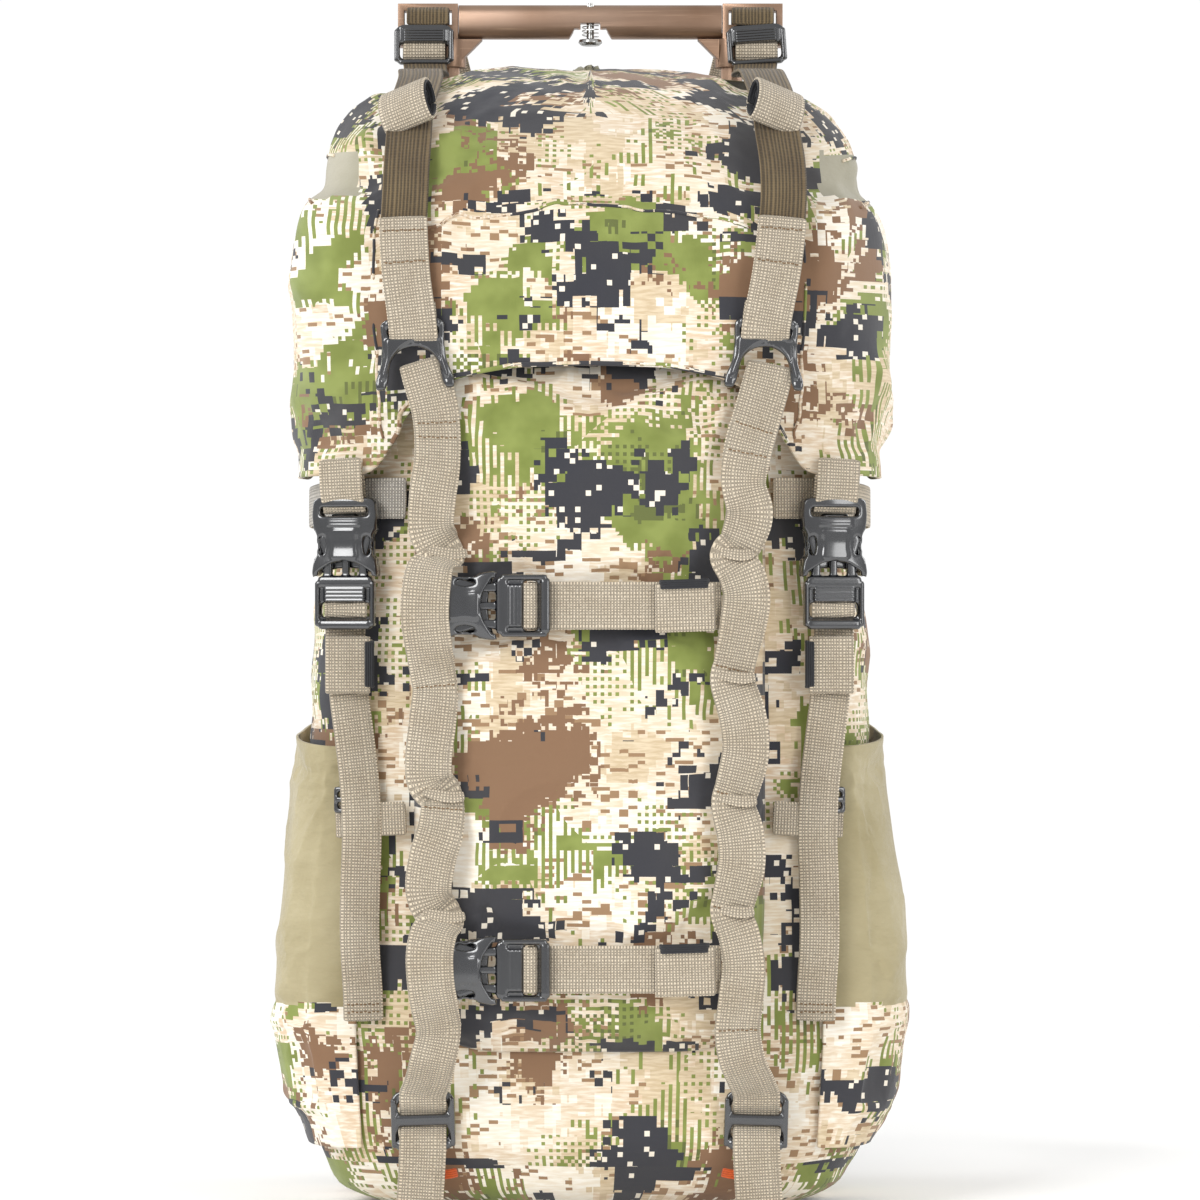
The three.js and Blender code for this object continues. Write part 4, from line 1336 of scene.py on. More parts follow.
for name, side in SIDES:
    hardware(TILTED, f"top_lock_{name}", (side * 94, 84.6, 641), (1, 0, 0.07 * (side > 0)),
             (-0.07 * (side > 0), 0, 1), "pop_up_frame", f"top_ladder_lock_{name}")
    hardware(LOCK, f"foot_lock_{name}", (side * 88, -119.2, 52), (1, 0, -0.03 * side), (0.03 * side, 0, 1), "pack",
             f"lower_ladder_lock_{name}")
    hardware(HOOK, f"lid_hook_{name}", (side * 92, -145.4, 456.5), (1, 0, -0.05 * side), (0.05 * side, 0, 1),
             "lid", f"strap_hook_{name}")
    hardware(SOCKET, f"side_socket_{name}", (side * 129, -112.8, 338), (1, 0.24 * side, 0), (0, 0, 1), "lid",
             f"side_buckle_female_{name}")
    hardware(PLUG, f"side_plug_{name}", (side * 129, -112.8, 338), (1, 0.20 * side, 0), (0, 0, 1),
             f"side_adjuster_{name}", f"side_buckle_male_{name}")
for name, z in (("upper", 324), ("lower", 134)):
    at = (-47, -157.1, z)
    hardware(SOCKET, f"front_socket_{name}", at, (0, 0, 1), (-1, 0, 0), "pack", f"front_buckle_female_{name}")
    hardware(PLUG, f"front_plug_{name}", at, (0, 0, 1), (-1, 0, 0), f"front_adjuster_{name}",
             f"front_buckle_male_{name}")
hardware(PLUG, "belt_plug", (-44, 333.6, 132), (0, 0, 1), (1, 0, 0), "belt_wing_left", "hip_buckle_male")
hardware(SOCKET, "belt_socket", (17, 337.1, 132), (0, 0, 1), (1, 0, 0), "belt_wing_right", "hip_buckle_female")
for spare in (LOCK, TILTED, SOCKET, PLUG, HOOK):
    bpy.data.objects.remove(spare)


# ------------------------------------------------------------------ webbing
def stitch_rows(name, path, width, rows, body, lift, count):
    """Short raised stitches across a strap. rows are places along path, in mm from its start."""
    pts, at = spline([list(p[:3]) + list(p[4:7] if len(p) > 4 else (1, 0, 0)) for p in path], 1.0)
    along = unit(np.gradient(pts[:, :3], axis=0))
    verts, faces = [], []
    for row in rows:
        i = int(np.clip(np.searchsorted(at, row), 0, len(at) - 1))
        centre, tangent = pts[i, :3], along[i]
        side = unit(pts[i, 3:6] - tangent * np.dot(pts[i, 3:6], tangent))
        up = np.cross(side, tangent)
        if up[1] > 0 and abs(up[1]) > abs(up[2]):
            up = -up
        for k in range(count):
            u = (k - (count - 1) / 2) / count * width * 0.88
            half, thick = width * 0.035, 0.42
            base = len(verts)
            wobble = 0.25 * math.sin(k * 2.4 + row)
            for a in (-1, 1):
                for b in (-1, 1):
                    for c in (0, 1):
                        s = 1.0 if c == 0 else 0.55
                        verts.append(centre + side * (u + a * half * s) + tangent * (wobble + b * thick * s)
                                     + up * (lift - 0.2 + c * 0.45))
            faces += block_faces(base)
    obj = make_mesh(name, verts, faces)
    face_outwards(obj)
    return finish_piece(obj, body, THREAD)


def web(name, path, width, body, material, nodes=(), across=(1, 0, 0), thick=1.7, step=1.6):
    """A strap with slight waves in it."""
    obj = strap(name, path, width, across, thick, step)
    shift_out(obj, fold_noise(points_of(obj), 45, len(name)) * 0.125)
    subdivide(obj)
    return finish_piece(obj, body, material, nodes)


def lash_strap(name, side):
    """The sewn-loop strap down the front: slack between its stitched folds, over the buckle ends."""
    tilt = lambda a: (math.cos(a), math.sin(a), 0.0)
    # x, y, z, width, and how far the strap turns about its own length
    left = [
        (88, -142.5, 453, 25, 0.05), (86, -143.6, 446, 25.5, 0.0), (80.5, -147.0, 424, 25, -0.15),
        (79.5, -152.5, 400, 25, -0.25), (82, -153.5, 380, 25, 0.1), (82.5, -151.5, 364, 25, 0.2),
        (78.5, -149.8, 355, 24, -0.25), (75.5, -150.5, 351, 23, -0.3), (82, -158.5, 346, 25, 0.1),
        (84.5, -165.2, 336, 25.5, 0.0), (85.5, -165.6, 318, 25.5, 0.0), (84, -161.5, 304, 25, 0.1),
        (81.5, -151.5, 288, 24, -0.15), (80.5, -150.8, 280, 24, -0.2), (82, -154.5, 262, 25, 0.0),
        (84, -155.0, 244, 25, 0.15), (83, -151.5, 231, 25, 0.1), (77.5, -150.2, 225, 23.5, -0.3),
        (77.5, -154.0, 208, 24.5, -0.2), (82, -155.5, 192, 25, 0.05), (84, -152.0, 174, 25, 0.2),
        (81, -150.5, 166, 24, 0.0), (77, -151.2, 161.5, 24, -0.3), (81, -160.0, 154, 25, 0.0),
        (83, -165.4, 144, 25, 0.0), (82.5, -165.6, 128, 25, 0.05), (80.5, -158.5, 114, 25, -0.1),
        (79, -149.0, 101, 24, -0.15), (82, -145.0, 86, 24.5, 0.0), (85, -134.5, 74, 25, 0.0),
    ]
    right = [
        (95, -142.5, 451, 25, 0.0), (93, -144.2, 442, 25.5, 0.1), (88, -147.5, 424, 26, 0.2),
        (83, -151.5, 406, 26, 0.1), (80.5, -153.0, 388, 24, -0.25), (83.5, -151.5, 372, 25, -0.1),
        (78.5, -149.8, 356, 24, 0.25), (73.5, -150.4, 350, 23.5, 0.3), (79, -153.5, 341, 24.5, 0.0),
        (82, -153.8, 330, 25, -0.1), (80.5, -153.6, 316, 25, 0.1), (76, -150.6, 294, 23.5, 0.3),
        (74.5, -150.4, 286, 24, 0.2), (80, -154.5, 266, 25, -0.1), (81.5, -154.8, 248, 25, -0.15),
        (77.5, -151.0, 230, 24.5, 0.2), (75, -150.6, 221, 24, 0.25), (78.5, -154.2, 206, 25, -0.1),
        (79.5, -154.8, 190, 25, -0.1), (75.5, -151.0, 171, 24, 0.2), (74, -150.8, 164, 23.5, 0.3),
        (78, -153.8, 152, 22, 0.0), (80.5, -154.0, 136, 23, -0.1), (79, -153.0, 118, 24, 0.1),
        (77.5, -149.5, 101, 24.5, 0.1), (80, -145.0, 86, 24.5, 0.0), (85, -134.5, 74, 25, 0.0),
    ]
    rows = left if side < 0 else right
    path = [(side * x, y, z, w) + tilt(a * side) for x, y, z, w, a in rows]
    thread = [(88, -125.2, 66), (88, -122.4, 61), (88, -117.9, 56.5), (88, -116.9, 52.5), (88, -118.2, 48.5),
              (88, -123.2, 43.5), (88, -124.8, 37), (88.6, -125.4, 24), (89.6, -124.0, 8), (89.8, -122.6, 2.6)]
    path += [(side * x, y, z, 25, 1, 0, 0) for x, y, z in thread]
    web(f"lash_strap_{name}", path, 25, "pack", TAN_WEB, [f"daisy_chain_{name}"])
    pts, at = spline(path, 1.0)
    heights = (419, 412, 282, 218, 157) if side < 0 else (417, 404, 291, 224, 166, 102)
    rows_at = [float(at[int(np.argmin(np.abs(pts[:, 2] - h)))]) for h in heights]
    stitch_rows(f"lash_stitches_{name}", path, 24, rows_at, "pack", lift=1.0, count=9)
    # small tucks where the strap is sewn down
    parts = []
    for h in (352, 225, 162) if side < 0 else (351, 287, 165, 222):
        i = int(np.argmin(np.abs(pts[:, 2] - h)))
        x, y, z, w = pts[i, :4]
        tuck = [(x - 0.42 * w, y - 1.2, z + 1.8, 3.4), (x - 0.1 * w, y - 2.4, z + 0.4, 5.6),
                (x + 0.25 * w, y - 2.2, z - 0.6, 6.4), (x + 0.52 * w, y - 0.8, z - 0.2, 4.6)]
        parts.append(strap("tuck", tuck, 4, across=(0, 0.35, 1), thick=1.6, step=1.4))
    joined = join_cloth(parts, f"lash_tucks_{name}")
    subdivide(joined)
    finish_piece(joined, "pack", TAN_WEB)


def join_cloth(objs, name):
    """Joins strips and keeps each one's place on its cloth."""
    verts, faces, fab, base = [], [], [], 0
    for obj in objs:
        mesh = obj.data
        cloth = np.zeros(len(mesh.vertices) * 3, np.float32)
        mesh.attributes["fab"].data.foreach_get("vector", cloth)
        verts.append(points_of(obj) / MM)
        fab.append(cloth.reshape(-1, 3))
        faces += [tuple(base + i for i in p.vertices) for p in mesh.polygons]
        base += len(mesh.vertices)
        bpy.data.objects.remove(obj)
    return make_mesh(name, np.concatenate(verts), faces, np.concatenate(fab))


def lid_strap(name, side):
    """Dark webbing from the pop-up bar over the lid, sewn to lighter webbing that ends in the hook."""
    back = [(91.5, 64.5, 621.5), (91.2, 56, 621.8), (92, 40, 621.4), (93.5, 24, 620.4)]
    over = [(93.5, 24, 620.4), (95.5, 0, 618.4), (97.5, -24, 615.6), (99.5, -50, 609.8), (100.6, -74, 600.6),
            (101, -96, 588.4), (100.8, -114, 573.4), (100.2, -127.6, 556), (99, -137.5, 540), (98, -144.2, 525)]
    light = [(98.2, -144.6, 528), (97.4, -148.2, 512), (96, -150.4, 496), (94, -150.2, 482), (92.4, -149.6, 470),
             (92.0, -148.8, 465.4), (92.0, -145.4, 462.2), (92.0, -142.6, 464.5), (92.6, -144.2, 474),
             (93.4, -146.8, 483)]
    # each side's line over the lid differs a little
    drift = (0, -2.5, -5, -8, -7.8, -5.7, -5.2, -3.9, -2.4, -0.6) if side < 0 else (0, -3, -4, -5, -4, -2.5, -1,
                                                                                    1.5, 3, 3)
    at = [-24, 0, 24, 50, 74, 96, 114, 127, 137, 144]
    over = [(x + float(np.interp(-y, at, drift)), y, z) for x, y, z in over]
    light = [(x + float(np.interp(z, [470, 528], [0, drift[-1]])), y, z) for x, y, z in light]
    flip = lambda rows: [(side * x, y, z) for x, y, z in rows]
    rear = strap(f"lid_strap_back_{name}", flip(back), 24.5, step=1.6, thick=1.9)
    subdivide(rear)
    finish_piece(rear, None, DARK_WEB)
    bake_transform(rear)
    web(f"lid_strap_{name}", flip(over), 24.5, "lid", DARK_WEB, [f"top_strap_{name}"], thick=1.9)
    web(f"lid_strap_light_{name}", flip(light), 25.5, "lid", TAN_WEB, thick=1.8)
    stitch_rows(f"lid_strap_stitches_{name}", flip(light[:5]), 25, [7, 24.5], "lid", lift=1.15, count=10)
    riser = [(91.5, 62.0, 621.4), (92.0, 70, 623.0), (92.8, 77, 625.6), (93.4, 82.4, 629.2), (94, 86.4, 633.6),
             (94, 88.2, 638), (94, 88.6, 643), (94, 88.6, 648), (94, 88.4, 653)]
    piece = strap(f"bar_strap_{name}", flip(riser), 24.5, step=1.4, thick=1.8)
    subdivide(piece)
    finish_piece(piece, None, DARK_WEB, [f"strap_riser_{name}"])
    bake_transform(piece)
    # light webbing seen in the lock's lower window
    window = [(94, 86.8, 643.2), (94, 84.0, 641.2), (94, 83.2, 637.4), (94, 84.0, 634.4), (94, 86.6, 632.4)]
    web(f"bar_lock_web_{name}", flip(window), 24, "pop_up_frame", TAN_WEB, thick=1.6)
    # and the dark loop through the bracket's window
    loop = [(92, 84.2, 652), (92, 86.2, 660), (92, 92, 662.4), (92, 99, 660.6), (92, 104.6, 655), (92, 105.2, 646)]
    web(f"bar_loop_{name}", flip(loop), 24, "pop_up_frame", DARK_WEB, thick=1.6)


def rolled_tail(name, side):
    """The strap's spare end, rolled into a loop whose open end faces the pack's middle and is darkened by black
    elastic inside the roll, partly real elastic and partly painted shade.
    """
    axis = unit(np.array([-side * 0.87, -0.36, 0.33]))
    tall = np.array([0.0, 0.5, 0.87])
    tall = unit(tall - axis * np.dot(tall, axis))
    out = np.cross(axis, tall)
    out = -out if out[1] > 0 else out
    centre = np.array([-96.5 if side < 0 else 98.5, -108.8, 588.5])

    def loop(high, deep, turns=30):
        rows = []
        for k in range(turns + 1):
            a = 2 * math.pi * k / turns - math.pi * 0.5
            pinch = 1.0 - 0.18 * math.cos(a) ** 2
            rows.append(tuple(centre + tall * high * math.cos(a) + out * deep * math.sin(a) * pinch))
        return rows

    outer = strap(f"rolled_tail_{name}", loop(12.6, 7.0), 28.0, across=tuple(axis), step=1.2, thick=1.8)
    subdivide(outer)
    finish_piece(outer, "lid", TAN_WEB)
    # black elastic lining the roll: real elastic at one end, and painted shade where it shows in the open end
    inner = strap(f"rolled_tail_elastic_and_shade_{name}", loop(11.1, 5.5), 29.0, across=tuple(axis), step=1.2, thick=1.2)
    subdivide(inner)
    finish_piece(inner, "lid", ELASTIC)
    # the end of the roll tucked away inside, in black elastic that darkens the roll's inside as painted shade
    curl = strap(f"rolled_tail_shade_curl_{name}", loop(5.6, 2.4)[2:-4], 24.0, across=tuple(axis), step=1.2, thick=1.6)
    subdivide(curl)
    finish_piece(curl, "lid", ELASTIC)


def folded_tail(name, centre, u, v, normal, half, body, cap, height=3.2, width=25.5):
    """A folded strap end held by a black elastic keeper along one edge."""
    centre, u, v, normal = [np.asarray(a, float) for a in (centre, u, v, normal)]
    rows = []
    for a, h in ((-1.02, 0.2), (-1.06, 0.55), (-1.0, 1.0), (-0.5, 1.15), (0.1, 1.1), (0.7, 1.2), (1.02, 1.0),
                 (1.12, 0.5),
                 (1.04, 0.08), (0.6, 0.0), (0.0, 0.0)):
        rows.append(tuple(centre + u * a * half + normal * h * height))
    web(f"folded_tail_{name}", rows, width, body, TAN_WEB, across=tuple(v), thick=1.6, step=1.2)
    side = np.asarray(cap, float)
    edge = centre + side * (width / 2 - 0.4)
    band_rows = []
    for a, h in ((-0.96, 0.0), (-1.0, 0.9), (-0.9, 1.55), (-0.2, 1.62), (0.4, 1.62), (0.92, 1.5), (1.0, 0.8),
                 (0.97, 0.0)):
        band_rows.append(tuple(edge + u * a * (half - 1.5) + normal * (h * height - 0.2)))
    keeper = strap(f"tail_keeper_{name}", band_rows, 5.0, across=tuple(side), thick=1.5, step=1.2)
    subdivide(keeper)
    finish_piece(keeper, body, ELASTIC)


def cross_strap(name, z):
    """A strap across the front pocket: socket at the left, plug, then webbing to the right lash strap."""
    y = -153.0
    path = [(-33, y + 0.4, z), (-26, y - 0.3, z), (-14, y - 0.6, z), (6, y - 0.2, z), (30, y + 0.3, z),
            (52, y + 0.4, z),
            (64, y + 1.6, z), (69, y + 2.6, z)]
    web(f"cross_strap_{name}", path, 25.2, "pack", TAN_WEB, [f"front_strap_{name}"], across=(0, 0, 1))
    body = f"front_adjuster_{name}"
    # the webbing that threads the plug's ladder, seen in its slot
    wrap = [(-35.6, -156.0, z), (-34.6, -158.2, z), (-32.6, -159.2, z), (-30.2, -159.2, z), (-28.2, -158.2, z),
            (-27.2, -156.0, z)]
    web(f"plug_web_{name}", wrap, 24.2, body, TAN_WEB, across=(0, 0, 1), thick=1.6)
    anchor = [(-66, -152.2, z), (-76, -153.4, z), (-83.5, -155.0, z), (-86.4, -158.0, z), (-84.4, -160.2, z),
              (-80.6, -160.6, z)]
    web(f"socket_web_{name}", anchor, 24.2, "pack", TAN_WEB, across=(0, 0, 1), thick=1.6)
    folded_tail(name, (49.5, y - 1.2, z - 1.0), (1, 0.0, 0.03), (0, 0, 1), (0, -1, 0), 14.0, "pack", cap=(0, 0, 1))


def side_strap(name, side):
    """The side strap: lid tab, socket, plug, webbing down to the pocket's foot, folded tail."""
    flip = lambda rows: [(side * r[0],) + tuple(r[1:]) for r in rows]
    tab = [(132, -117.5, 402), (131.6, -118.4, 392), (131, -117.6, 382), (130, -115.8, 376.6),
           (129.4, -113.4, 373.4),
           (129.4, -110.4, 375.2), (130, -110.6, 384), (130.6, -112.0, 394)]
    web(f"lid_tab_{name}", flip(tab), 23.5, "lid", TAN_WEB, across=(1, 0.24 * side, 0))
    main = [(129.5, -106.8, 336), (129.8, -107.4, 322), (129.2, -108.0, 300), (127.4, -108.6, 276),
            (124.6, -109.8, 254),
            (121.8, -112.8, 230), (120.6, -113.2, 204), (121.4, -113.4, 176), (121.6, -113.6, 146),
            (120.0, -114.0, 118),
            (119.6, -114.6, 104)]
    web(f"side_strap_web_{name}", flip(main), 21.2, "pack", TAN_WEB, [f"side_strap_{name}"])
    body = f"side_adjuster_{name}"
    wrap = [(129, -111.6, 326.4), (129, -113.8, 325.2), (129, -114.8, 323.2), (129, -114.8, 320.8),
            (129, -113.8, 318.8),
            (129, -111.6, 317.6)]
    web(f"side_plug_web_{name}", flip(wrap), 23.4, body, TAN_WEB, across=(1, 0.2 * side, 0), thick=1.6)
    folded_tail(f"side_{name}", (side * 128.0, -112.0, 293.0), (0, 0, -1), (1, 0, 0), (0, -1, 0), 13.5, body,
                height=3.0, width=24.0, cap=(-side, 0, 0))
    stitch_rows(f"side_strap_stitches_{name}", flip([main[-1], main[-2], main[-3]]), 20, [5.0, 9.0], "pack",
                lift=1.1, count=8)


def compression(name, side):
    """Straps round the bag's sides: a wide one under the lid and a narrow one above the pocket's middle."""
    fine = np.linspace(0.134 * math.pi, 0.72 * math.pi, 52)
    rows = []
    for a in fine:
        x, y = ring_xy(151.6, -115.6, 89, a)
        rows.append((side * float(x), float(y), 379.0 + 2.0 * math.sin(3 * a)))
    web(f"compression_{name}", rows, 22, "pack", GREY_WEB if side < 0 else TAN_WEB,
        [f"compression_strap_{name}"], across=(0, 0, 1))
    low = []
    for a in np.linspace(0.125 * math.pi, 0.50 * math.pi, 34):
        x, y = ring_xy(156.5, -119.6, 89, a)
        low.append((side * float(x), float(y), 214.0 - 6 * math.sin(a)))
    web(f"compression_low_{name}", low, 18, "pack", TAN_WEB, across=(0, 0, 1))
    # the small black lock on each, and the strap's elastic end
    for tag, z, a in (("top", 366.0, 0.262), ("low", 221.0, 0.232)):
        x, y = ring_xy(152 if tag == "top" else 157, -117.0 if tag == "top" else -120.6, 89, a * math.pi)
        parts = [plate([rect(-7.5, -7, 7.5, 7), rect(-5.2, -4.6, 5.2, -0.8), rect(-5.2, 1.2, 5.2, 4.6)], -1.6, 1.8,
                       0.7, 1.6),
                 plate([rect(-6.6, -1.2, 6.6, 1.6)], -1.0, 2.6, 0.8, 0.8)]
        small = moulded(f"small_lock_{tag}_{name}", parts, voxel=0.5)
        place(small, (side * float(x), float(y) - 1.4, z), (1, 0.25 * side, 0), (0, 0, 1))
        finish_piece(small, "pack", ACETAL)


for name, side in SIDES:
    lash_strap(name, side)
    lid_strap(name, side)
    rolled_tail(name, side)
    side_strap(name, side)
    compression(name, side)
    web(f"orange_tab_{name}", [(side * 70, -112.5, 24), (side * 74, -115.8, 23.4), (side * 80, -117.2, 23.0)], 5.0,
        "pack",
        ORANGE, across=(0, 0.3, 1), thick=1.2)
for name, z in (("upper", 324), ("lower", 134)):
    cross_strap(name, z)


# ------------------------------------------------------------------ pads and harness
def padded_slab(name, half, low, high, depth, node, channels):
    """A foam pad drawn in X and Z that stands out from the frame, sewn down along channels."""
    y0 = 105.5  # the frame's rear face
    nx, nz = 64, int(64 * (high - low) / (2 * half)) // 2 * 2
    U, V, r, k = rounded_grid(nx, nz, 5.0)
    mid, tall = (low + high) / 2, (high - low) / 2
    X, Z = U * k * half, mid + V * k * tall
    inn = (1 - r) * min(half, tall)
    rise = (1 - np.exp(-(inn / 4.5) ** 1.2)) * depth * 0.93
    crown = depth * 0.07 * (1 - U ** 2) * (1 - V ** 4)
    Y = y0 + rise + crown
    front = np.stack([X, Y, Z], -1).reshape(-1, 3)
    fab = np.stack([X * MM, Z * MM, 0 * X], -1).reshape(-1, 3)
    faces = grid_faces(nz, nx)
    n = nx * nz
    flat = front.copy()
    flat[:, 1] = y0 + 0.3
    rim = list(range(nx)) + [i * nx + nx - 1 for i in range(1, nz)]
    rim += [(nz - 1) * nx + i for i in range(nx - 2, -1, -1)] + [i * nx for i in range(nz - 2, 0, -1)]
    verts = np.concatenate([front, flat])
    cloth = np.concatenate([fab, fab])
    faces += [tuple(n + i for i in reversed(face)) for face in grid_faces(nz, nx)]
    m = len(rim)
    for i in range(m):
        j = (i + 1) % m
        faces.append((rim[i], rim[j], n + rim[j], n + rim[i]))
    obj = make_mesh(name, verts, faces, cloth)
    face_outwards(obj)
    x, _, z = (points_of(obj) / MM).T
    inside = np.zeros(len(x))
    inside[:n] = smoothstep(0.5, 6, inn.ravel())
    sewn = np.zeros(len(x))
    for kind, value in channels:
        sewn = np.maximum(sewn, bulge(z if kind == "z" else np.abs(x), value, 2.6))
    pin = np.clip(1 - inside + sewn, 0, 1)
    puff(obj, pin, pressure=3.0, frames=10, cap=2.0, bending=0.8)
    co = points_of(obj)
    depth_map = (fold_noise(co, 22, len(name)) * 0.8 - 0.8 - sewn * 3.6) * inside
    edge = np.zeros(len(x))
    edge[:n] = bulge(inn.ravel(), 6.0, 1.6) * 1.2
    shift_out(obj, depth_map - edge * inside)
    subdivide(obj)
    finish_piece(obj, "pack", SPACER, [node])
    # binding round its edge
    outline = []
    for a in np.linspace(0, 2 * math.pi, 72, endpoint=False):
        c, s = math.cos(a), math.sin(a)
        bend = lambda v: np.sign(v) * np.abs(v) ** (2 / 5)
        outline.append((half * 0.985 * bend(c), y0 + depth * 0.22, mid + tall * 0.99 * bend(s)))
    piping(f"{name}_binding", outline, 2.1, "pack", EDGE_TAPE)


def padded_band(name, rows, thick, body, node, seed):
    """A foam-filled strap along rows of (x, y, z, width, across x, y, z), rounded over its width."""
    pts, at = spline(rows, 4.0)
    centre, wide, side = pts[:, :3], pts[:, 3], unit(pts[:, 4:7])
    along = unit(np.gradient(centre, axis=0))
    side = unit(side - along * (side * along).sum(1, keepdims=True))
    up = np.cross(side, along)
    n = 34
    # rounded ends
    ends = np.minimum(at, at[-1] - at)
    width_scale = np.sqrt(np.clip(1 - (1 - np.clip(ends / 16.0, 0, 1)) ** 2, 0.04, 1))
    thick_scale = np.clip(ends / 8.0, 0.15, 1) ** 0.5
    verts, fab, places = [], [], []
    for k in range(n):
        a = 2 * math.pi * k / n
        c, s = math.cos(a), math.sin(a)
        u = 0.5 * np.sign(c) * abs(c) ** 0.42
        v = 0.5 * np.sign(s) * abs(s) ** 0.62
        verts.append(centre + side * (wide * width_scale * u)[:, None] + up * (thick * thick_scale * v)[:, None])
        fab.append(np.stack([wide * u * MM, at * MM, np.full(len(at), 0.0)], 1))
        places.append(u)
    obj = tube(name, verts, fab)
    u_all = np.tile(places, len(at))
    pin = np.clip(smoothstep(0.40, 0.48, np.abs(u_all)), 0, 1)
    puff(obj, pin, pressure=2.5, frames=10, cap=1.5, bending=1.0)
    co = points_of(obj)
    field = fold_noise(co, 24, seed) * 0.7 + creases(co, 16, seed + 1) * 0.6 - 1.0
    shift_out(obj, field - bulge(np.abs(u_all), 0.40, 0.03) * 1.6)
    subdivide(obj)
    finish_piece(obj, body, SPACER, [node])
    return centre, side, up, along


def harness_side(name, side):
    """One shoulder strap with its webbing and load lifter, and one wing of the belt."""
    flip = lambda rows: [(side * r[0],) + tuple(r[1:]) for r in rows]
    rows = flip([(38, 127, 520), (44, 150, 556), (54, 184, 562), (66, 214, 524), (78, 222, 440), (86, 206, 345),
                 (90, 180, 268), (91, 160, 226)])
    rows = [r + (60 - 2.0 * i, 1, 0, 0) for i, r in enumerate(rows)]
    c, s, up, along = padded_band(f"shoulder_pad_{name}", rows, 12.4, "pack", f"shoulder_strap_{name}", 51 + side)
    flipped = -1.0 if up[len(up) // 2][1] < 0 else 1.0
    # webbing and lash loops down the strap's outside
    face = [tuple(c[i] + up[i] * flipped * 7.4) for i in range(12, len(c) - 6, 5)]
    web(f"shoulder_web_{name}", face, 22, "pack", TAN_WEB)
    for k, i in enumerate(range(20, len(c) - 14, 9)):
        a, b = c[i] + up[i] * flipped * 8.6, along[i]
        loop = [tuple(a - s[i] * 15 + up[i] * flipped * -1.2), tuple(a - s[i] * 8 + up[i] * flipped * 0.6),
                tuple(a + up[i] * flipped * 1.4), tuple(a + s[i] * 8 + up[i] * flipped * 0.6),
                tuple(a + s[i] * 15 - up[i] * flipped * 1.2)]
        web(f"shoulder_loop_{name}_{k}", loop, 9, "pack", TAN_WEB, across=tuple(b), thick=1.4)
    # lower strap end: webbing down to the frame's foot
    tail = flip([(91, 168, 236), (92, 160, 214), (95, 146, 180), (98, 128, 150), (98, 112, 128), (96, 107, 112)])
    web(f"shoulder_tail_{name}", tail, 22, "pack", TAN_WEB)
    lift = flip([(82, 106, 650), (82, 110.5, 645), (79, 122, 632), (74, 138, 614), (68, 158, 594), (62, 177, 577.5),
                 (60, 184, 572), (59, 194, 566.5), (59, 202, 556)])
    piece = strap(f"load_lifter_web_{name}", lift, 20, step=2.0, thick=1.7)
    subdivide(piece)
    finish_piece(piece, None, TAN_WEB, [f"load_lifter_{name}"])
    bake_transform(piece)
    wing = flip([(100, 124, 138), (128, 136, 138), (152, 166, 136), (162, 210, 134), (156, 262, 133),
                 (136, 304, 132)])
    wing = [r + (106 - 7.6 * i, 0, 0, 1) for i, r in enumerate(wing)]
    body = f"belt_wing_{name}"
    c, s, up, along = padded_band(f"belt_pad_{name}", wing, 12.4, body, f"hip_belt_{name}", 61 + side)
    middle = len(c) // 2
    outward = 1.0 if up[middle][0] * side > 0 else -1.0
    for row, lift_z in ((0, 15.0), (1, -15.0)):
        face = [tuple(c[i] + up[i] * outward * 7.2 + np.array([0, 0, lift_z * (1 - 0.35 * i / len(c))]))
                for i in range(6, len(c) - 4, 5)]
        web(f"belt_band_{name}_{row}", face, 20, body, TAN_WEB, across=(0, 0, 1), thick=1.6)
    belt = flip([(140, 296, 132), (133, 309, 132), (124, 317, 132), (112, 324, 132), (84, 328.6, 132),
                 (52, 330.6, 132),
                 (44, 331.6, 132)])
    if side > 0:
        belt = belt[:-1] + [(54, 333.5, 132)]
    web(f"belt_web_{name}", belt, 25, body, TAN_WEB, [f"belt_webbing_{name}"], across=(0, 0, 1))


padded_slab("yoke_cushion", 60, 478, 562, 13, "yoke_pad", channels=(("x", 0.0),))
padded_slab("back_cushion", 72, 214, 470, 18, "back_pad",
            channels=(("x", 24.0), ("z", 278.0), ("z", 342.0), ("z", 406.0)))
padded_slab("lumbar_cushion", 96, 78, 206, 32, "lumbar_pad", channels=(("x", 34.0), ("z", 142.0)))
for name, side in SIDES:
    harness_side(name, side)
web("belt_plug_web", [(-70, 331.6, 132), (-66, 332.2, 132), (-62.5, 335.6, 132), (-58.6, 337.2, 132),
                      (-54.8, 336.0, 132),
                      (-52, 332.6, 132)], 24, "belt_wing_left", TAN_WEB, across=(0, 0, 1), thick=1.6)
chest = [(-66, 229.6, 436), (-58, 231, 436), (-20, 233.6, 435), (20, 233.6, 435), (58, 231, 436), (66, 229.6, 436)]
web("sternum_web", chest, 18, "pack", TAN_WEB, ["sternum_strap"], across=(0, 0, 1))
small = moulded("sternum_clip", [
    plate([rect(-17, -10, 17, 10), rect(-13.6, -6.6, -9.8, 6.6), rect(9.8, -6.6, 13.6, 6.6)], -2.0, 3.4, 1.2, 3.0),
    plate([rect(-6.4, -8.6, 6.4, 8.6)], 2.6, 4.6, 0.8, 2.4)], voxel=0.55)
place(small, (0, 235.6, 435), (-1, 0, 0), (0, 0, 1))
finish_piece(small, "pack", ACETAL)


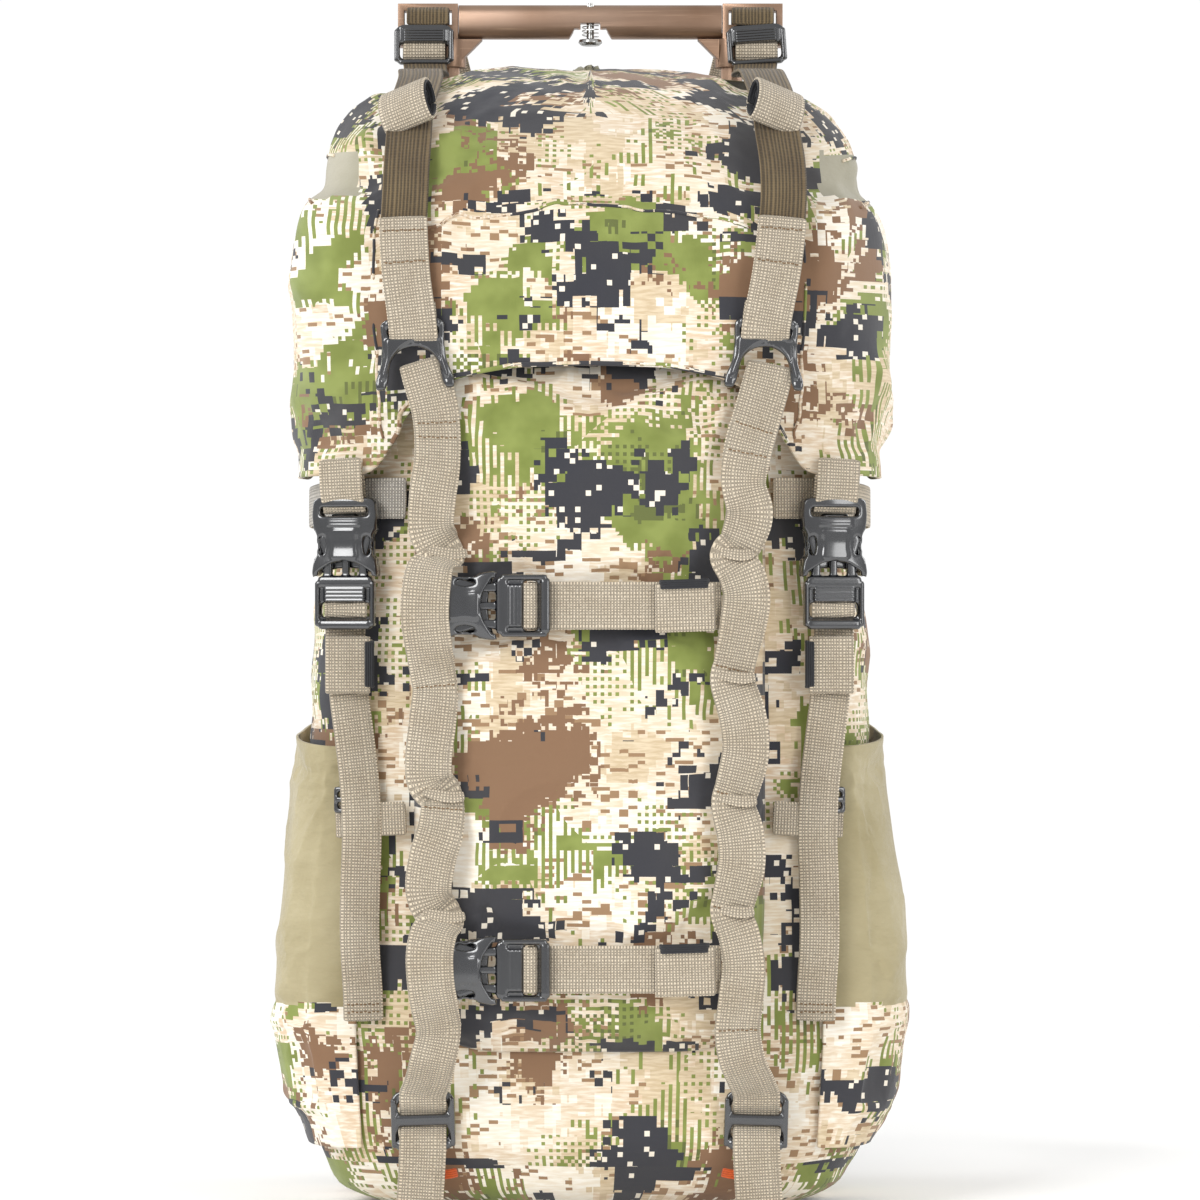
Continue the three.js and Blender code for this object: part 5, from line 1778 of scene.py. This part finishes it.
# ------------------------------------------------------------------ finishes on the CAD's hard parts
def finish_nodes():
    """Materials and softened edges for the CAD nodes that stay visible."""
    table = {
        BRONZE: ["top_crossbar", "crossbar_bracket_left", "crossbar_bracket_right", "pop_up_rod_left",
                 "pop_up_rod_right"],
        STEEL: ["release_plunger", "release_spring", "lid_zip_slider"],
        CARBON: ["frame_tube_left", "frame_tube_right"],
        NYLON: ["tube_collar_left", "tube_collar_right", "frame_lower_bar", "frame_mid_bar", "framesheet"],
    }
    soft_edge = {"top_crossbar": 0.9, "crossbar_bracket_left": 1.0, "crossbar_bracket_right": 1.0,
                 "lid_zip_slider": 0.35,
                 "frame_lower_bar": 1.2, "frame_mid_bar": 1.2, "framesheet": 0.5, "tube_collar_left": 0.6,
                 "tube_collar_right": 0.6, "release_plunger": 0.25}
    for material, nodes in table.items():
        for node in nodes:
            obj = frame["nodes"][node]
            while len(obj.data.materials) < 1:
                obj.data.materials.append(None)
            for i in range(len(obj.data.materials)):
                obj.material_slots[i].material = material
            if node in soft_edge:
                modify(obj, "WELD", merge_threshold=0.00002)
                bevel = modify(obj, "BEVEL", width=soft_edge[node] * MM, segments=3, limit_method="ANGLE",
                               angle_limit=math.radians(32))
                bevel.harden_normals = False
            obj.data.polygons.foreach_set("use_smooth", [True] * len(obj.data.polygons))


finish_nodes()


def zip_tape():
    """The lid pocket's zip across its top: woven tape and two rows of teeth."""
    rows = [(-92, 46.0, 613.0), (-60, 46.3, 615.6), (-20, 46.6, 616.6), (20, 46.6, 616.6), (60, 46.3, 615.6),
            (92, 46.0, 613.0)]
    tape = strap("zip_tape", rows, 24, across=(0, 1, -0.16), thick=1.0, step=2.0)
    subdivide(tape)
    finish_piece(tape, "lid", EDGE_TAPE)
    pts, _ = spline(rows, 1.5)
    verts, faces = [], []
    for p in pts[:, :3]:
        for s in (-1, 1):
            base = len(verts)
            shift = 0.75 if s > 0 else 0.0
            for a in (-0.5, 0.5):
                for b in (0.1, 2.2):
                    for c in (0.2, 1.7):
                        verts.append((p[0] + shift + a * 0.95, p[1] + s * b * 0.9,
                                      p[2] + c * (1.0 if b < 1 else 0.7)))
            faces += block_faces(base)
    teeth = make_mesh("zip_teeth", verts, faces, smooth=False)
    face_outwards(teeth)
    finish_piece(teeth, "lid", NYLON)


zip_tape()


# ------------------------------------------------------------------ floor and light
FLOOR_RADIUS = 1.3  # metres
FLOOR_DROP = 0.0005  # keeps the floor just under the foot
ROOM_LIGHT, BACKDROP = 0.66, 1.02  # what the world lends the object, and what the camera sees of it
MIDDLE, MIDDLE_REAR = (0, 0, 0.3), (0, 0, 0.35)  # where the lights point


def stage():
    """A pale floor, and a world that lights softly and looks white to the camera."""
    mesh = bpy.data.meshes.new("floor")
    turns = [2 * math.pi * k / 96 for k in range(96)]
    mesh.from_pydata([(FLOOR_RADIUS * math.cos(a), FLOOR_RADIUS * math.sin(a), 0) for a in turns], [],
                     [tuple(range(96))])
    floor = link(bpy.data.objects.new("floor", mesh))
    floor.location.z = -FLOOR_DROP
    n = Nodes("pale_floor", roughness=0.9)
    tone = n.ramp(n.noise(n.place(), 3.0, 2.0), 0.3, 0.7)
    mesh.materials.append(n.done(n.mix(tone, srgb("ffffff"), srgb("fdfdfc"))))
    world = bpy.data.worlds.new("studio")
    bpy.context.scene.world = world
    world.use_nodes = True
    nodes, links = world.node_tree.nodes, world.node_tree.links
    light = nodes["Background"]
    light.inputs[0].default_value = (1, 1, 1, 1)
    light.inputs[1].default_value = ROOM_LIGHT
    white = nodes.new("ShaderNodeBackground")
    white.inputs[0].default_value = (1, 1, 1, 1)
    white.inputs[1].default_value = BACKDROP
    path = nodes.new("ShaderNodeLightPath")
    blend = nodes.new("ShaderNodeMixShader")
    links.new(path.outputs["Is Camera Ray"], blend.inputs[0])
    links.new(light.outputs[0], blend.inputs[1])
    links.new(white.outputs[0], blend.inputs[2])
    links.new(blend.outputs[0], nodes["World Output"].inputs[0])


def area(name, at, towards, size, power):
    """A rectangular light: place, aim and size in metres, power in watts."""
    data = bpy.data.lights.new(name, "AREA")
    data.energy = power
    data.shape = "RECTANGLE"
    data.size, data.size_y = size
    obj = link(bpy.data.objects.new(name, data))
    obj.location = at
    obj.rotation_euler = (Vector(towards) - Vector(at)).to_track_quat("-Z", "Y").to_euler()


stage()
area("key", (-1.25, -2.05, 1.5), MIDDLE, (0.9, 1.7), 38)
area("fill", (1.5, -2.0, 0.8), MIDDLE, (0.7, 1.4), 13)
area("rim_left", (-1.6, 0.6, 1.2), MIDDLE_REAR, (0.6, 1.2), 14)
area("rim_right", (1.6, 0.6, 1.2), MIDDLE_REAR, (0.6, 1.2), 14)
bpy.context.scene.view_settings.view_transform = "Standard"
